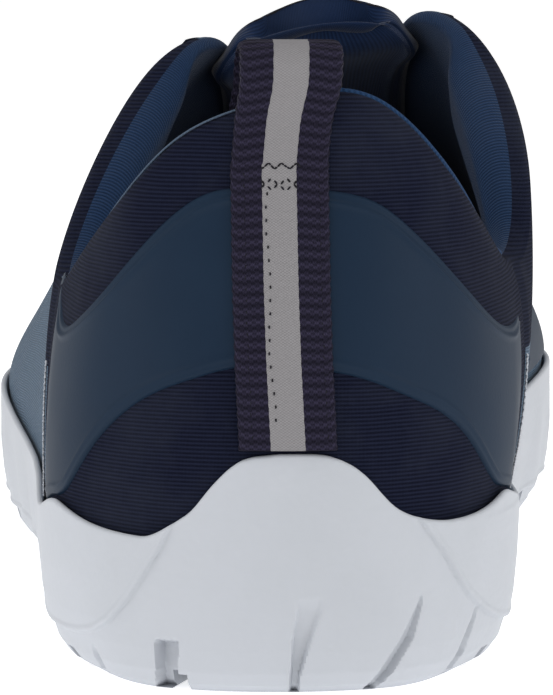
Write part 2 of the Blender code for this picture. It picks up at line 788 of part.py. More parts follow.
def make_laces():
    """Crossed bands over the throat, joined into one solid, ending in the top holes."""
    low, high = 9.0, 6.4
    holes = [low + (high - low) * pair / (LACE_PAIRS - 1) for pair in range(LACE_PAIRS)]
    runs = [(holes[0], ROUND - holes[0])]
    for here, beyond in zip(holes, holes[1:]):
        runs.append((here, ROUND - beyond))
        runs.append((ROUND - here, beyond))
    bands = []
    for number, (start, end) in enumerate(runs):
        bm = bmesh.new()
        layer = LACE_LAYER * (number % 3)
        lace_band(bm, *lace_path(start, end, layer))
        mesh = mesh_from("lace_band", bm)
        if number == 0:
            bands.append(new_object("laces", mesh, (0.006, 0.008, 0.020), 0.75))
            continue
        band = bpy.data.objects.new(f"lace_band_{number}", mesh)
        bpy.context.scene.collection.objects.link(band)
        band.hide_render = True
        band.display_type = "WIRE"
        bands.append(band)
        join = bands[0].modifiers.new(band.name, "BOOLEAN")
        join.operation = "UNION"
        join.object = band
    return bands


def clear_scene():
    for piece in list(bpy.data.objects):
        bpy.data.objects.remove(piece, do_unlink=True)


def main():
    clear_scene()
    frame = bpy.data.objects.new("shoe", None)
    bpy.context.scene.collection.objects.link(frame)
    frame.location = (0, -HEEL_SEAT, 0)
    pieces = [
        make_outsole(frame),
        make_insole(),
        make_upper(),
        make_heel_band(),
        make_side_panel(),
        make_eyestay(),
        make_tongue(),
        make_pull_loop(),
        *make_laces(),
    ]
    for piece in pieces:
        piece.parent = frame


main()
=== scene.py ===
# %% [markdown]
# # A left barefoot trail shoe, seen from behind
# The imported shoe is loaded first: it is the fixed frame that every dressed piece sits in.

# %% The imported shoe
import math

import bmesh
import bpy
import numpy as np
from mathutils import Matrix, Vector


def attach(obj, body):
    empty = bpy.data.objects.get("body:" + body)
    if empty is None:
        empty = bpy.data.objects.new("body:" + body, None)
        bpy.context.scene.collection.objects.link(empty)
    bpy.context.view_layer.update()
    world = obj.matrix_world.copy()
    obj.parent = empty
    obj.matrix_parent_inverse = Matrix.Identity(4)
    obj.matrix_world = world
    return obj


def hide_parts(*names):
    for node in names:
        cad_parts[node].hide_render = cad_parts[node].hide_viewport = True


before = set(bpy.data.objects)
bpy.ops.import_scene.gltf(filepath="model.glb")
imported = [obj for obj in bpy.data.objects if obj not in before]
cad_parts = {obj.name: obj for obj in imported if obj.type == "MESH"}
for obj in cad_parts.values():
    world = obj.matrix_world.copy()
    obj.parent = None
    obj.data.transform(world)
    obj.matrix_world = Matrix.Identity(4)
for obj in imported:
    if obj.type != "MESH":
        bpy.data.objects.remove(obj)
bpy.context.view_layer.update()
MM = 0.001
print("packed nodes:", sorted(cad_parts))

# %% [markdown]
# ## Camera, floor and light
# The photo looks straight at the heel from 0.69 m away and a little above, against pure white.
# A long lens keeps the forefoot from shrinking. A white world gives the even light of a
# photographer's tent. It is dimmer for the light than for the eye, so that dark cloth stays
# dark, and the floor glows a little, so that the ground stays pure white. Soft panels at both
# sides and above lift the flanks as in the photo.

# %% Camera
HEEL_SEAT = 38 * MM
VIEW_DISTANCE = 690 * MM
VIEW_RISE = math.radians(6.6)
AIM_HEIGHT = 53.3 * MM
camera_data = bpy.data.cameras.new("camera")
camera_data.lens = 238
camera_data.sensor_width = 36
camera = bpy.data.objects.new("camera", camera_data)
bpy.context.scene.collection.objects.link(camera)
camera.location = (
    0,
    -HEEL_SEAT - VIEW_DISTANCE * math.cos(VIEW_RISE),
    AIM_HEIGHT + VIEW_DISTANCE * math.sin(VIEW_RISE),
)
camera.rotation_euler = (math.pi / 2 - VIEW_RISE, 0, 0)
bpy.context.scene.camera = camera
bpy.context.scene.view_settings.view_transform = "Standard"
print("camera height, mm:", round(camera.location.z / MM, 1))


# %% Light and floor
def soft_panel(name, place, aim, size, power):
    """A square panel of light that faces its aim."""
    light = bpy.data.lights.new(name, "AREA")
    light.shape = "RECTANGLE"
    light.size = light.size_y = size
    light.energy = power
    panel = bpy.data.objects.new(name, light)
    bpy.context.scene.collection.objects.link(panel)
    panel.location = place
    direction = np.subtract(aim, place)
    yaw = math.atan2(direction[1], direction[0]) - math.pi / 2
    pitch = math.atan2(direction[2], math.hypot(direction[0], direction[1]))
    panel.rotation_euler = (math.pi / 2 + pitch, 0, yaw)


PANEL_POWER = 3.6
SKY_SEEN = 1.0
SKY_LIGHT = 0.42
FLOOR_GLOW = 0.62
for name, place, aim, size in (
    ("left_panel", (-0.9, -0.35, 0.40), (0, 0.05, 0.04), 0.7),
    ("right_panel", (0.9, -0.35, 0.40), (0, 0.05, 0.04), 0.7),
    ("top_panel", (0.0, -0.20, 1.1), (0, 0.03, 0.04), 0.8),
):
    soft_panel(name, place, aim, size, PANEL_POWER)

world = bpy.data.worlds.new("studio")
bpy.context.scene.world = world
world.use_nodes = True
sky = world.node_tree
sky.nodes["Background"].inputs["Color"].default_value = (1, 1, 1, 1)
straight = sky.nodes.new("ShaderNodeLightPath")
level = sky.nodes.new("ShaderNodeMapRange")
level.inputs["To Min"].default_value = SKY_LIGHT
level.inputs["To Max"].default_value = SKY_SEEN
sky.links.new(straight.outputs["Is Camera Ray"], level.inputs["Value"])
sky.links.new(level.outputs["Result"], sky.nodes["Background"].inputs["Strength"])

bm = bmesh.new()
bmesh.ops.create_grid(bm, x_segments=1, y_segments=1, size=6)
floor_mesh = bpy.data.meshes.new("floor")
bm.to_mesh(floor_mesh)
bm.free()
floor = bpy.data.objects.new("floor", floor_mesh)
bpy.context.scene.collection.objects.link(floor)
floor_finish = bpy.data.materials.new("floor_finish")
floor_finish.use_nodes = True
floor_shader = floor_finish.node_tree.nodes["Principled BSDF"]
floor_shader.inputs["Base Color"].default_value = (0.93, 0.93, 0.93, 1)
floor_shader.inputs["Roughness"].default_value = 0.9
floor_shader.inputs["Emission Color"].default_value = (1, 1, 1, 1)
floor_shader.inputs["Emission Strength"].default_value = FLOOR_GLOW
floor_mesh.materials.append(floor_finish)
print("soft panels:", len(bpy.data.lights), "power:", PANEL_POWER)

# %% [markdown]
# ## The last
# A shoe is pulled over a last, a block in the shape of a foot. Every fabric piece here lies on
# the same last, so one function of two numbers places them all: u runs round the shoe, from the
# heel over the inner side to the toe and back, and s runs up from the sole's edge to the top
# edge. The last is a short table of sections with a smooth closed curve through them.

# %% Sizes and sections of the last
LENGTH = 282 * MM
BALL_HALF = 53 * MM
HEEL_HALF = 38.6 * MM
HEEL_HEIGHT = 91 * MM
EAR_HEIGHT = 99.5 * MM
INSTEP_SHIFT = 5.6 * MM
RAND_HEIGHT = 28 * MM
RAND_WALL = 1.2 * MM
CUP_WALL = 2.4 * MM
BED_HEIGHT = 9 * MM
GAP = 0.3 * MM
KNIT_WALL = 2.0 * MM
COLLAR_WALL = 5.4 * MM
ROUND = 24

# along, half, rand, top along, top half, top, swell, rise, reach, drop, hub
HEEL_BACK = (0.000, 0.000, 0.87, 0.025, 0.065, 1.000, 0.021, 0.33, 0.078, 0.30, 0.120)
HEEL_INNER = (
    (0.0195, 0.544, 0.89, 0.033, 0.427, 0.987, 0.026, 0.31, 0.078, 0.31, 0.128),
    (0.082, 0.894, 0.89, 0.085, 0.746, 0.835, 0.039, 0.31, 0.104, 0.29, 0.146),
    (0.170, 0.997, 0.88, 0.199, 0.974, 0.687, 0.093, 0.37, 0.117, 0.21, 0.184),
    (0.284, 0.958, 0.86, 0.262, 1.070, 0.846, 0.130, 0.34, 0.052, 0.26, 0.284),
)
FORE_INNER = (
    (0.397, 0.689, 0.86, 0.319, 0.670, 0.960, 0.094, 0.25, 0.094, 0.20, 0.372),
    (0.514, 0.783, 0.89, 0.344, 0.443, 1.000, 0.075, 0.30, 0.245, 0.19, 0.472),
    (0.624, 0.925, 0.96, 0.433, 0.358, 0.869, 0.038, 0.30, 0.264, 0.15, 0.532),
    (0.727, 1.004, 1.00, 0.521, 0.292, 0.739, 0.019, 0.31, 0.302, 0.15, 0.585),
    (0.830, 0.953, 1.00, 0.582, 0.236, 0.661, 0.009, 0.34, 0.415, 0.19, 0.597),
    (0.922, 0.811, 1.00, 0.606, 0.198, 0.631, 0.000, 0.37, 0.680, 0.26, 0.604),
    (0.977, 0.557, 1.00, 0.617, 0.157, 0.619, 0.000, 0.39, 0.980, 0.36, 0.609),
)
TOE_TIP = (1.000, 0.170, 1.00, 0.6206, 0.106, 0.615, 0.000, 0.38, 1.090, 0.39, 0.612)
HEEL_OUTER = (
    (0.0195, 0.544, 0.84, 0.028, 0.324, 0.948, 0.026, 0.32, 0.078, 0.32, 0.128),
    (0.082, 0.894, 0.84, 0.067, 0.645, 0.813, 0.021, 0.32, 0.117, 0.32, 0.146),
    (0.170, 1.000, 0.83, 0.199, 0.909, 0.645, 0.013, 0.37, 0.057, 0.21, 0.184),
    (0.284, 1.049, 0.82, 0.262, 0.824, 0.797, -0.013, 0.32, 0.091, 0.24, 0.284),
)
FORE_OUTER = (
    (0.397, 0.821, 0.82, 0.319, 0.387, 0.920, -0.009, 0.20, 0.170, 0.20, 0.372),
    (0.514, 0.909, 0.86, 0.344, 0.179, 0.955, -0.009, 0.23, 0.340, 0.22, 0.472),
    (0.624, 0.981, 0.94, 0.433, 0.094, 0.834, 0.000, 0.23, 0.340, 0.19, 0.532),
    (0.730, 0.958, 0.95, 0.521, 0.047, 0.719, 0.000, 0.24, 0.340, 0.18, 0.585),
    (0.823, 0.840, 0.95, 0.582, 0.009, 0.651, 0.000, 0.26, 0.415, 0.21, 0.597),
    (0.908, 0.604, 0.96, 0.606, -0.023, 0.626, 0.000, 0.31, 0.640, 0.28, 0.604),
    (0.970, 0.264, 0.98, 0.617, -0.057, 0.617, 0.000, 0.35, 0.905, 0.35, 0.609),
)


def section_row(section, side, half_width, full_height):
    along, half, rand, top_along, top_half, top, swell, rise, reach, drop, middle = section
    return (
        side * half * half_width,
        along * LENGTH,
        rand * RAND_HEIGHT,
        side * top_half * half_width,
        top_along * LENGTH,
        top * full_height,
        swell * half_width,
        rise,
        reach * half_width,
        drop,
        middle * LENGTH,
    )


def last_rows():
    rows = [section_row(row, 1, HEEL_HALF, HEEL_HEIGHT) for row in (HEEL_BACK, *HEEL_INNER)]
    rows += [section_row(row, 1, BALL_HALF, EAR_HEIGHT) for row in (*FORE_INNER, TOE_TIP)]
    rows += [section_row(row, -1, BALL_HALF, EAR_HEIGHT) for row in reversed(FORE_OUTER)]
    rows += [section_row(row, -1, HEEL_HALF, HEEL_HEIGHT) for row in reversed(HEEL_OUTER)]
    return np.array(rows)


ROWS = last_rows()
NEXT = np.roll(ROWS, -1, axis=0)
BEFORE = np.roll(ROWS, 1, axis=0)
UNIT = np.eye(ROUND)
SLOPES = np.linalg.solve(
    4 * UNIT + np.roll(UNIT, 1, axis=1) + np.roll(UNIT, -1, axis=1), 3 * (NEXT - BEFORE)
)
print("sections of the last:", len(ROWS))


# %% Places on the last
def last(u):
    """The measures of the section at each u."""
    u = np.asarray(u, float) % ROUND
    whole = np.floor(u).astype(int)
    t = (u - whole)[..., None]
    i, j = whole % ROUND, (whole + 1) % ROUND
    ends = ROWS[i] * (1 + 2 * t) * (1 - t) ** 2 + ROWS[j] * (3 - 2 * t) * t * t
    return ends + SLOPES[i] * t * (1 - t) ** 2 - SLOPES[j] * (1 - t) * t * t


def ease(value, start, end):
    """From 0 at start to 1 at end, with a soft beginning and finish."""
    t = np.clip((np.asarray(value, float) - start) / (end - start), 0, 1)
    return t * t * (3 - 2 * t)


def hump(value, middle, half_width):
    """1 at the middle, falling softly to 0 a half width away on both sides."""
    return 1 - ease(np.abs(np.asarray(value, float) - middle), 0, half_width)


def soft_interp(value, places, heights, spread):
    """A table read along a line whose corners are rounded off over a spread."""
    value = np.asarray(value, float)
    offsets = np.array((-1.0, -0.6, -0.2, 0.2, 0.6, 1.0)) * spread
    return sum(np.interp(value + offset, places, heights) for offset in offsets) / len(offsets)


def from_heel(u):
    u = np.asarray(u, float) % ROUND
    return np.minimum(u, ROUND - u)


def inner_side(u):
    """1 on the inner side of the shoe, 0 on the outer side."""
    return (np.asarray(u, float) % ROUND < ROUND / 2).astype(float)


def unit(vectors):
    return vectors / np.linalg.norm(vectors, axis=-1, keepdims=True)


def plan_normal(u):
    ahead = last(u + 0.01)[..., :2] - last(u - 0.01)[..., :2]
    return unit(np.stack([ahead[..., 1], -ahead[..., 0]], axis=-1))


def hub(u):
    shift = INSTEP_SHIFT * ease(from_heel(u), 2, 7)
    return np.stack([shift, last(u)[..., 10]], axis=-1)


def ground(along):
    """Height of the tread over the floor: arch and toe spring."""
    share = along / LENGTH
    arch = ease(share, 0.30, 0.37) * (1 - ease(share, 0.47, 0.54))
    toe = np.clip((share - 0.76) / 0.24, 0, None)
    return 1.2 * MM * arch + 9 * MM * toe**1.8


def bed(along):
    return BED_HEIGHT + 0.9 * ground(along)


def xyz(flat, height):
    return np.concatenate([flat, height[..., None]], axis=-1)


def outer(u, s):
    """The upper's outer surface, with stations measured from the back of the heel."""
    u, s = np.broadcast_arrays(np.asarray(u, float), np.asarray(s, float))
    row = last(u)
    out = plan_normal(u)
    low = xyz(row[..., :2] - out * (RAND_WALL + GAP), row[..., 2])
    foot = xyz(row[..., :2] - out * (CUP_WALL + GAP), bed(row[..., 1]) + GAP)
    top = row[..., 3:6]
    height = top[..., 2] - low[..., 2]
    spread = unit(row[..., :2] - hub(u))
    rise = low + xyz(out * row[..., 6:7], row[..., 7] * height)
    drop = top + xyz(spread * row[..., 8:9], -row[..., 9] * height)
    t = np.clip(s, 0, None)[..., None]
    r = 1 - t
    above = low * r**3 + rise * (3 * r * r * t) + drop * (3 * r * t * t) + top * t**3
    below = low + (foot - low) * np.clip(-s, 0, None)[..., None]
    return np.where(s[..., None] < 0, below, above)


def outward(u, s):
    """The direction that points straight out of the upper."""
    u, s = np.broadcast_arrays(np.asarray(u, float), np.asarray(s, float))
    s = np.clip(s, 0.02, 0.98)
    across = outer(u + 0.03, s) - outer(u - 0.03, s)
    upward = outer(u, s + 0.02) - outer(u, s - 0.02)
    return unit(np.cross(across, upward))


HOME = np.array((0, -HEEL_SEAT, 0))


def on_last(u, s, lift=0.0):
    """A place off the upper's surface, in the shoe's own frame."""
    lift = np.asarray(lift, float)
    return outer(u, s) + outward(u, s) * lift[..., None] + HOME


def by_column(u, look_up):
    """Works out a value for each u from one curve per different u."""
    kinds, which = np.unique(np.round(u, 6), return_inverse=True)
    result = np.empty(len(u))
    for number, kind in enumerate(kinds):
        chosen = which == number
        result[chosen] = look_up(kind, chosen)
    return result


def share_at(u, height):
    """The s at which the upper's surface reaches a height."""
    u, height = np.broadcast_arrays(np.atleast_1d(u).astype(float), height)
    shares = np.linspace(0, 1, 61)

    def look_up(kind, chosen):
        return np.interp(height[chosen], outer(kind, shares)[:, 2], shares)

    return by_column(u, look_up)


def share_below_top(u, distance):
    """The s that lies a distance down the surface from the top edge."""
    u, distance = np.broadcast_arrays(np.atleast_1d(u).astype(float), distance)
    shares = np.linspace(0, 1, 61)

    def look_up(kind, chosen):
        steps = np.linalg.norm(np.diff(outer(kind, shares), axis=0), axis=1)
        down = np.append(0, np.cumsum(steps))
        return np.interp(down[-1] - distance[chosen], down, shares)

    return by_column(u, look_up)


print("collar at the back, mm:", np.round(on_last(0, 1) / MM, 1))


# %% [markdown]
# ## Cutting pieces from the last
# A piece of cloth starts as a flat grid, just as it is cut, and each of its corners is then laid
# on the last. The grid's two directions become its UV map, in metres, so knit and weave follow
# the cloth. Columns stand closer together at the heel, where the camera is.

# %% Laying a grid on the shoe
def lay_grid(name, us, ts, place, closed=False, cloth=None):
    """A grid of quads with columns at us and rows at ts, laid where `place` puts them.

    A closed grid meets itself and is sewn shut. `cloth` gives each face's finish by number.
    """
    us, ts = np.asarray(us, float), np.asarray(ts, float)
    bm = bmesh.new()
    bmesh.ops.create_grid(bm, x_segments=len(us) - 1, y_segments=len(ts) - 1, size=0.5)
    bm.verts.index_update()
    flat = np.array([vert.co[:2] for vert in bm.verts]) + 0.5
    column, row = np.rint(flat * (len(us) - 1, len(ts) - 1)).astype(int).T
    points = place(us[column], ts[row])
    grid = np.empty((len(us), len(ts), 3))
    grid[column, row] = points
    along = np.linalg.norm(np.diff(grid, axis=0), axis=2).mean(axis=1)
    up = np.linalg.norm(np.diff(grid, axis=1), axis=2)
    along = np.append(0, np.cumsum(along))
    up = np.concatenate([np.zeros((len(us), 1)), np.cumsum(up, axis=1)], axis=1)
    uv_layer = bm.loops.layers.uv.new("cloth")
    for vert, point, i, j in zip(bm.verts, points, column, row):
        vert.co = point
        for loop in vert.link_loops:
            loop[uv_layer].uv = (along[i], up[i, j])
    if cloth:
        faces = np.array([[vert.index for vert in face.verts] for face in bm.faces])
        numbers = cloth(us[column][faces].mean(axis=1), ts[row][faces].mean(axis=1))
        for face, number in zip(bm.faces, numbers):
            face.material_index = int(number)
    if closed:
        bmesh.ops.remove_doubles(bm, verts=bm.verts, dist=0.002 * MM)
    bmesh.ops.recalc_face_normals(bm, faces=bm.faces)
    mesh = bpy.data.meshes.new(name)
    bm.to_mesh(mesh)
    bm.free()
    mesh.shade_smooth()
    return mesh


def add_piece(mesh, finish, slot, *nodes):
    """Puts a mesh on the shoe, with its finish and the nodes that it stands for. The slot is not used.
    """
    piece = bpy.data.objects.new(mesh.name, mesh)
    bpy.context.scene.collection.objects.link(piece)
    if not mesh.materials:
        mesh.materials.append(finish)
    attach(piece, "root")
    if nodes:
        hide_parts(*nodes)
    print(mesh.name, "faces:", len(mesh.polygons))
    return piece


def stops(marks, counts):
    """Even steps between each mark and the next, with as many values as the counts say."""
    runs = [np.linspace(low, high, n) for low, high, n in zip(marks, marks[1:], counts)]
    return np.concatenate([runs[0], *(run[1:] for run in runs[1:])])


def columns(heel, side, fore):
    """Values of u round the whole shoe: how many at the heel, on each side and in front."""
    return stops((-2.2, 2.2, 3.6, ROUND - 3.6, ROUND - 2.2), (heel, side, fore, side))


def zone(t, start, end):
    """The rows that lie between two marks, and each one's share of the way between them."""
    part = (t > start) & (t <= end) if start else t <= end
    return part, (t[part] - start) / (end - start)


# %% [markdown]
# ## Shared finishes
# Knit, woven cloth, film and rubber all have fine relief. Each effect is a node group that is
# built once and placed in the materials with its own values: knit ribs, a fine grain, soft
# patches of wear and crossing threads.

# %% Node helpers
def new_group(name, numbers, outputs):
    """A node group that takes a place and some numbers, and its own inputs and outputs."""
    group = bpy.data.node_groups.new(name, "ShaderNodeTree")
    group.interface.new_socket("Vector", in_out="INPUT", socket_type="NodeSocketVector")
    for label, value in numbers.items():
        socket = group.interface.new_socket(label, in_out="INPUT", socket_type="NodeSocketFloat")
        socket.default_value = value
    for label in outputs:
        group.interface.new_socket(label, in_out="OUTPUT", socket_type="NodeSocketFloat")
    given = group.nodes.new("NodeGroupInput").outputs
    return group, given, group.nodes.new("NodeGroupOutput").inputs


def add_node(tree, kind, inputs=(), **settings):
    """A node with its settings and its inputs, each a value or another node's output."""
    node = tree.nodes.new(kind)
    for label, value in settings.items():
        setattr(node, label, value)
    for label, source in dict(inputs).items():
        if hasattr(source, "is_output"):
            tree.links.new(source, node.inputs[label])
        else:
            node.inputs[label].default_value = source
    return node


def calc(tree, operation, *values):
    return add_node(tree, "ShaderNodeMath", enumerate(values), operation=operation).outputs[0]


def wave(tree, turns, operation="SINE"):
    """A wave that comes back with every whole turn."""
    return calc(tree, operation, calc(tree, "MULTIPLY", turns, 2 * math.pi))


def noise(tree, vector, scale, detail=2.0, roughness=0.5):
    inputs = {"Vector": vector, "Scale": scale, "Detail": detail, "Roughness": roughness}
    return add_node(tree, "ShaderNodeTexNoise", inputs).outputs["Fac"]


def split(tree, vector):
    return add_node(tree, "ShaderNodeSeparateXYZ", {"Vector": vector}).outputs


def join(tree, x, y):
    return add_node(tree, "ShaderNodeCombineXYZ", {"X": x, "Y": y}).outputs[0]


def use_group(tree, group, vector, **numbers):
    """The outputs of a node group placed in a material."""
    inputs = {"Vector": vector, **numbers}
    return add_node(tree, "ShaderNodeGroup", inputs, node_tree=group).outputs


# %% Knit, grain, wear and weave
def make_knit_group():
    """Ribs one pitch apart along the map's second axis, each made of small slanted stitches."""
    group, given, result = new_group(
        "knit_ribs", {"Pitch": 0.62 * MM, "Stitch": 0.5 * MM}, ("Height", "Shade")
    )
    vector = given["Vector"]
    x, y = split(group, vector)[:2]
    wobble = calc(group, "MULTIPLY", noise(group, vector, 60.0), 0.9)
    rib = wave(group, calc(group, "ADD", calc(group, "DIVIDE", y, given["Pitch"]), wobble))
    slant = calc(group, "MULTIPLY", rib, 0.6)
    purl = wave(group, calc(group, "ADD", calc(group, "DIVIDE", x, given["Stitch"]), slant))
    ribs = calc(group, "MULTIPLY_ADD", rib, 0.5, 0.5)
    ribs = calc(group, "ADD", ribs, calc(group, "MULTIPLY", purl, 0.16))
    fuzz = calc(group, "MULTIPLY", noise(group, vector, 2600.0, 1.0), 0.3)
    height = calc(group, "ADD", ribs, fuzz)
    patches = calc(group, "MULTIPLY", noise(group, vector, 900.0), 0.25)
    group.links.new(height, result["Height"])
    # Shade gives each rib's height as colour, lighter on top and darker in the valleys: painted shade
    # that follows the ribs, plus random patches of tone
    group.links.new(calc(group, "MULTIPLY_ADD", height, 0.75, patches), result["Shade"])
    return group


def make_grain_group():
    """The pebbled skin of moulded rubber and film."""
    group, given, result = new_group("fine_grain", {"Scale": 900.0}, ("Height",))
    inputs = {"Vector": given["Vector"], "Scale": given["Scale"]}
    cells = add_node(group, "ShaderNodeTexVoronoi", inputs, feature="SMOOTH_F1")
    patches = noise(group, given["Vector"], 45.0)
    height = calc(group, "MULTIPLY", patches, cells.outputs["Distance"])
    group.links.new(height, result["Height"])
    return group


def make_wear_group():
    """Soft irregular patches, used for dust, rubbed colour and dull spots."""
    group, given, result = new_group("soft_wear", {"Scale": 40.0}, ("Mask",))
    patches = noise(group, given["Vector"], given["Scale"], 5.0, 0.6)
    inputs = {"Value": patches, "From Min": 0.42, "From Max": 0.72}
    spread = add_node(group, "ShaderNodeMapRange", inputs)
    group.links.new(spread.outputs["Result"], result["Mask"])
    return group


def make_weave_group():
    """Threads that cross over and under, as on tape and laces."""
    group, given, result = new_group(
        "woven_threads", {"Across": 0.5 * MM, "Along": 0.85 * MM}, ("Height", "Shade")
    )
    x, y = split(group, given["Vector"])[:2]
    x = calc(group, "DIVIDE", x, given["Across"])
    y = calc(group, "DIVIDE", y, given["Along"])
    shift = calc(group, "MULTIPLY", calc(group, "ROUND", x), 0.5)
    crossing = calc(group, "MULTIPLY", wave(group, x), wave(group, calc(group, "ADD", y, shift)))
    fuzz = calc(group, "MULTIPLY", noise(group, given["Vector"], 2500.0), 0.3)
    height = calc(group, "ADD", calc(group, "MULTIPLY_ADD", crossing, 0.35, 0.5), fuzz)
    group.links.new(height, result["Height"])
    # Shade gives the threads' height as colour, darker where they dip under: painted shade between the
    # threads
    group.links.new(calc(group, "MULTIPLY", height, 0.85), result["Shade"])
    return group


KNIT = make_knit_group()
GRAIN = make_grain_group()
WEAR = make_wear_group()
WEAVE = make_weave_group()
print("node groups:", [group.name for group in bpy.data.node_groups])


# %% Materials of the shoe
DUST = (0.07, 0.08, 0.10, 1)


def srgb(red, green, blue):
    """A colour as read off the photo, from 0 to 255, as the shader wants it."""
    parts = np.array((red, green, blue)) / 255
    linear = np.where(parts <= 0.04045, parts / 12.92, ((parts + 0.055) / 1.055) ** 2.4)
    return (*linear, 1.0)


def new_finish(name, roughness, sheen, specular):
    """A material, its node tree, its shader's inputs and the maps of the surface."""
    finish = bpy.data.materials.new(name)
    finish.use_nodes = True
    tree = finish.node_tree
    shader = tree.nodes["Principled BSDF"].inputs
    shader["Roughness"].default_value = roughness
    shader["Sheen Weight"].default_value = sheen
    shader["Sheen Roughness"].default_value = 0.4
    shader["Specular IOR Level"].default_value = specular
    return finish, tree, shader, add_node(tree, "ShaderNodeTexCoord").outputs


def mix_colours(tree, share, first, second):
    inputs = {0: share, 6: first, 7: second}
    return add_node(tree, "ShaderNodeMix", inputs, data_type="RGBA").outputs[2]


def dress(tree, shader, share, first, second, height, relief):
    """Colours a surface from the first colour to the second, and raises it by a height."""
    tree.links.new(mix_colours(tree, share, first, second), shader["Base Color"])
    inputs = {"Height": height, "Distance": relief, "Strength": 1.0}
    bump = add_node(tree, "ShaderNodeBump", inputs)
    tree.links.new(bump.outputs["Normal"], shader["Normal"])


def knit_finish(name, dark, light, pitch, relief, sheen, turned=False, level_ribs=False):
    """Ribbed knit. The ribs follow the cloth's own map, or stay level where level_ribs is set."""
    finish, tree, shader, where = new_finish(name, 0.9, sheen, 0.03)
    vector = where["UV"]
    if level_ribs:
        vector = join(tree, split(tree, vector)["X"], split(tree, where["Object"])["Z"])
    if turned:
        x, y = split(tree, vector)[:2]
        vector = join(tree, y, x)
    ribs = use_group(tree, KNIT, vector, Pitch=pitch, Stitch=0.8 * pitch)
    wear = use_group(tree, WEAR, where["Object"], Scale=55.0)["Mask"]
    # The yarn's colour with painted shade: darker in the rib valleys, lighter on the rib tops
    yarn_with_painted_shade = mix_colours(tree, ribs["Shade"], dark, light)
    dusty = calc(tree, "MULTIPLY", wear, 0.12)
    dress(tree, shader, dusty, yarn_with_painted_shade, DUST, ribs["Height"], relief)
    return finish


def woven_finish(name, dark, light, threads, rib=0.0):
    """Woven cloth. threads: their step across and along and their relief, in millimetres."""
    finish, tree, shader, where = new_finish(name, 0.8, 0.02, 0.08)
    across, along, relief = (size * MM for size in threads)
    weave = use_group(tree, WEAVE, where["UV"], Across=across, Along=along)
    shade = weave["Shade"]
    # Where the cloth has cross ribs, the colour is painted lighter on their crests and darker between
    # them, in step with the ribs' relief: a painted highlight and painted shade
    if rib:
        turns = calc(tree, "DIVIDE", split(tree, where["UV"])["Y"], rib)
        rib_highlight_and_shade = calc(tree, "MULTIPLY_ADD", wave(tree, turns, "COSINE"), 0.28, 0.62)
        shade = calc(tree, "MULTIPLY", shade, rib_highlight_and_shade)
    dress(tree, shader, shade, dark, light, weave["Height"], relief)
    return finish


def skin_finish(name, clean, worn, gloss, specular, scales, relief, duller=0.0):
    """Rubber or film, with a fine grain and worn patches. scales: of the grain, of the wear."""
    finish, tree, shader, where = new_finish(name, gloss, 0.0, specular)
    grain = use_group(tree, GRAIN, where["Object"], Scale=scales[0])["Height"]
    wear = use_group(tree, WEAR, where["Object"], Scale=scales[1])["Mask"]
    if duller:
        rough = calc(tree, "MULTIPLY_ADD", wear, duller, gloss)
        tree.links.new(rough, shader["Roughness"])
    dress(tree, shader, wear, clean, worn, grain, relief)
    return finish


def thread_finish(name, dark, light):
    finish, tree, shader, where = new_finish(name, 0.7, 0.1, 0.2)
    wear = use_group(tree, WEAR, where["Object"], Scale=800.0)["Mask"]
    dress(tree, shader, wear, dark, light, wear, 0.05 * MM)
    return finish


navy_knit = knit_finish(
    "navy_knit", srgb(8, 10, 22), srgb(29, 33, 51), 0.62 * MM, 0.12 * MM, 0.02, level_ribs=True
)
lining_knit = knit_finish(
    "lining_knit", srgb(17, 30, 51), srgb(38, 58, 88), 0.62 * MM, 0.09 * MM, 0.12, turned=True
)
fore_knit = knit_finish(
    "fore_knit", srgb(36, 54, 72), srgb(72, 96, 118), 0.5 * MM, 0.08 * MM, 0.2
)
print("knits:", [finish.name for finish in (navy_knit, lining_knit, fore_knit)])

# %% [markdown]
# ## The outsole
# The cup sole is one moulding of white rubber. Its side wall carries raised petals at both
# sides, a tab up the back of the heel, and grooves that climb from the tread. The side is a
# fine grid that is pushed in and out for these, and the tread's channels are then cut out with
# a Boolean, because they run across the grid's lines.

# %% Outline of the sole's side
# u, outer rand, inner rand, outer petal, inner petal, in millimetres
SIDE_LINES = (
    (0.00, 37.0, 37.0, 60.0, 60.0),
    (0.20, 36.5, 37.0, 60.0, 60.0),
    (0.30, 35.5, 37.0, 60.0, 60.0),
    (0.40, 33.5, 36.4, 60.0, 60.0),
    (0.50, 31.0, 35.5, 48.0, 60.0),
    (0.60, 28.0, 34.2, 36.0, 52.0),
    (0.70, 26.6, 32.0, 28.6, 44.0),
    (0.80, 25.2, 29.4, 23.5, 36.0),
    (0.90, 24.1, 27.8, 20.2, 31.0),
    (0.96, 23.7, 27.2, 18.3, 29.0),
    (1.10, 23.8, 26.2, 14.0, 25.2),
    (1.30, 24.1, 25.5, 10.0, 20.3),
    (1.50, 24.6, 25.5, 7.7, 14.6),
    (1.70, 25.4, 25.8, 6.8, 11.4),
    (1.90, 26.3, 26.5, 6.4, 9.2),
    (2.05, 26.8, 27.2, 6.3, 8.2),
    (2.20, 26.4, 27.9, 6.3, 7.4),
    (2.50, 24.6, 26.4, 6.2, 6.4),
    (3.00, 23.4, 24.7, 6.2, 6.2),
)


def side_line(u, outer_column, inner_column):
    table = np.array(SIDE_LINES)
    away = from_heel(u)
    inner = soft_interp(away, table[:, 0], table[:, inner_column], 0.07) * MM
    outer_part = soft_interp(away, table[:, 0], table[:, outer_column], 0.05) * MM
    return np.where(inner_side(u) > 0, inner, outer_part)


def rand_edge(u):
    """Top edge of the sole's side: the table at the heel, the last's own rand further on."""
    beyond = ease(from_heel(u), 2.5, 3.2)
    return side_line(u, 1, 2) * (1 - beyond) + last(u)[..., 2] * beyond


def petal_edge(u):
    lift = ground(last(u)[..., 1])
    return side_line(u, 3, 4) + lift


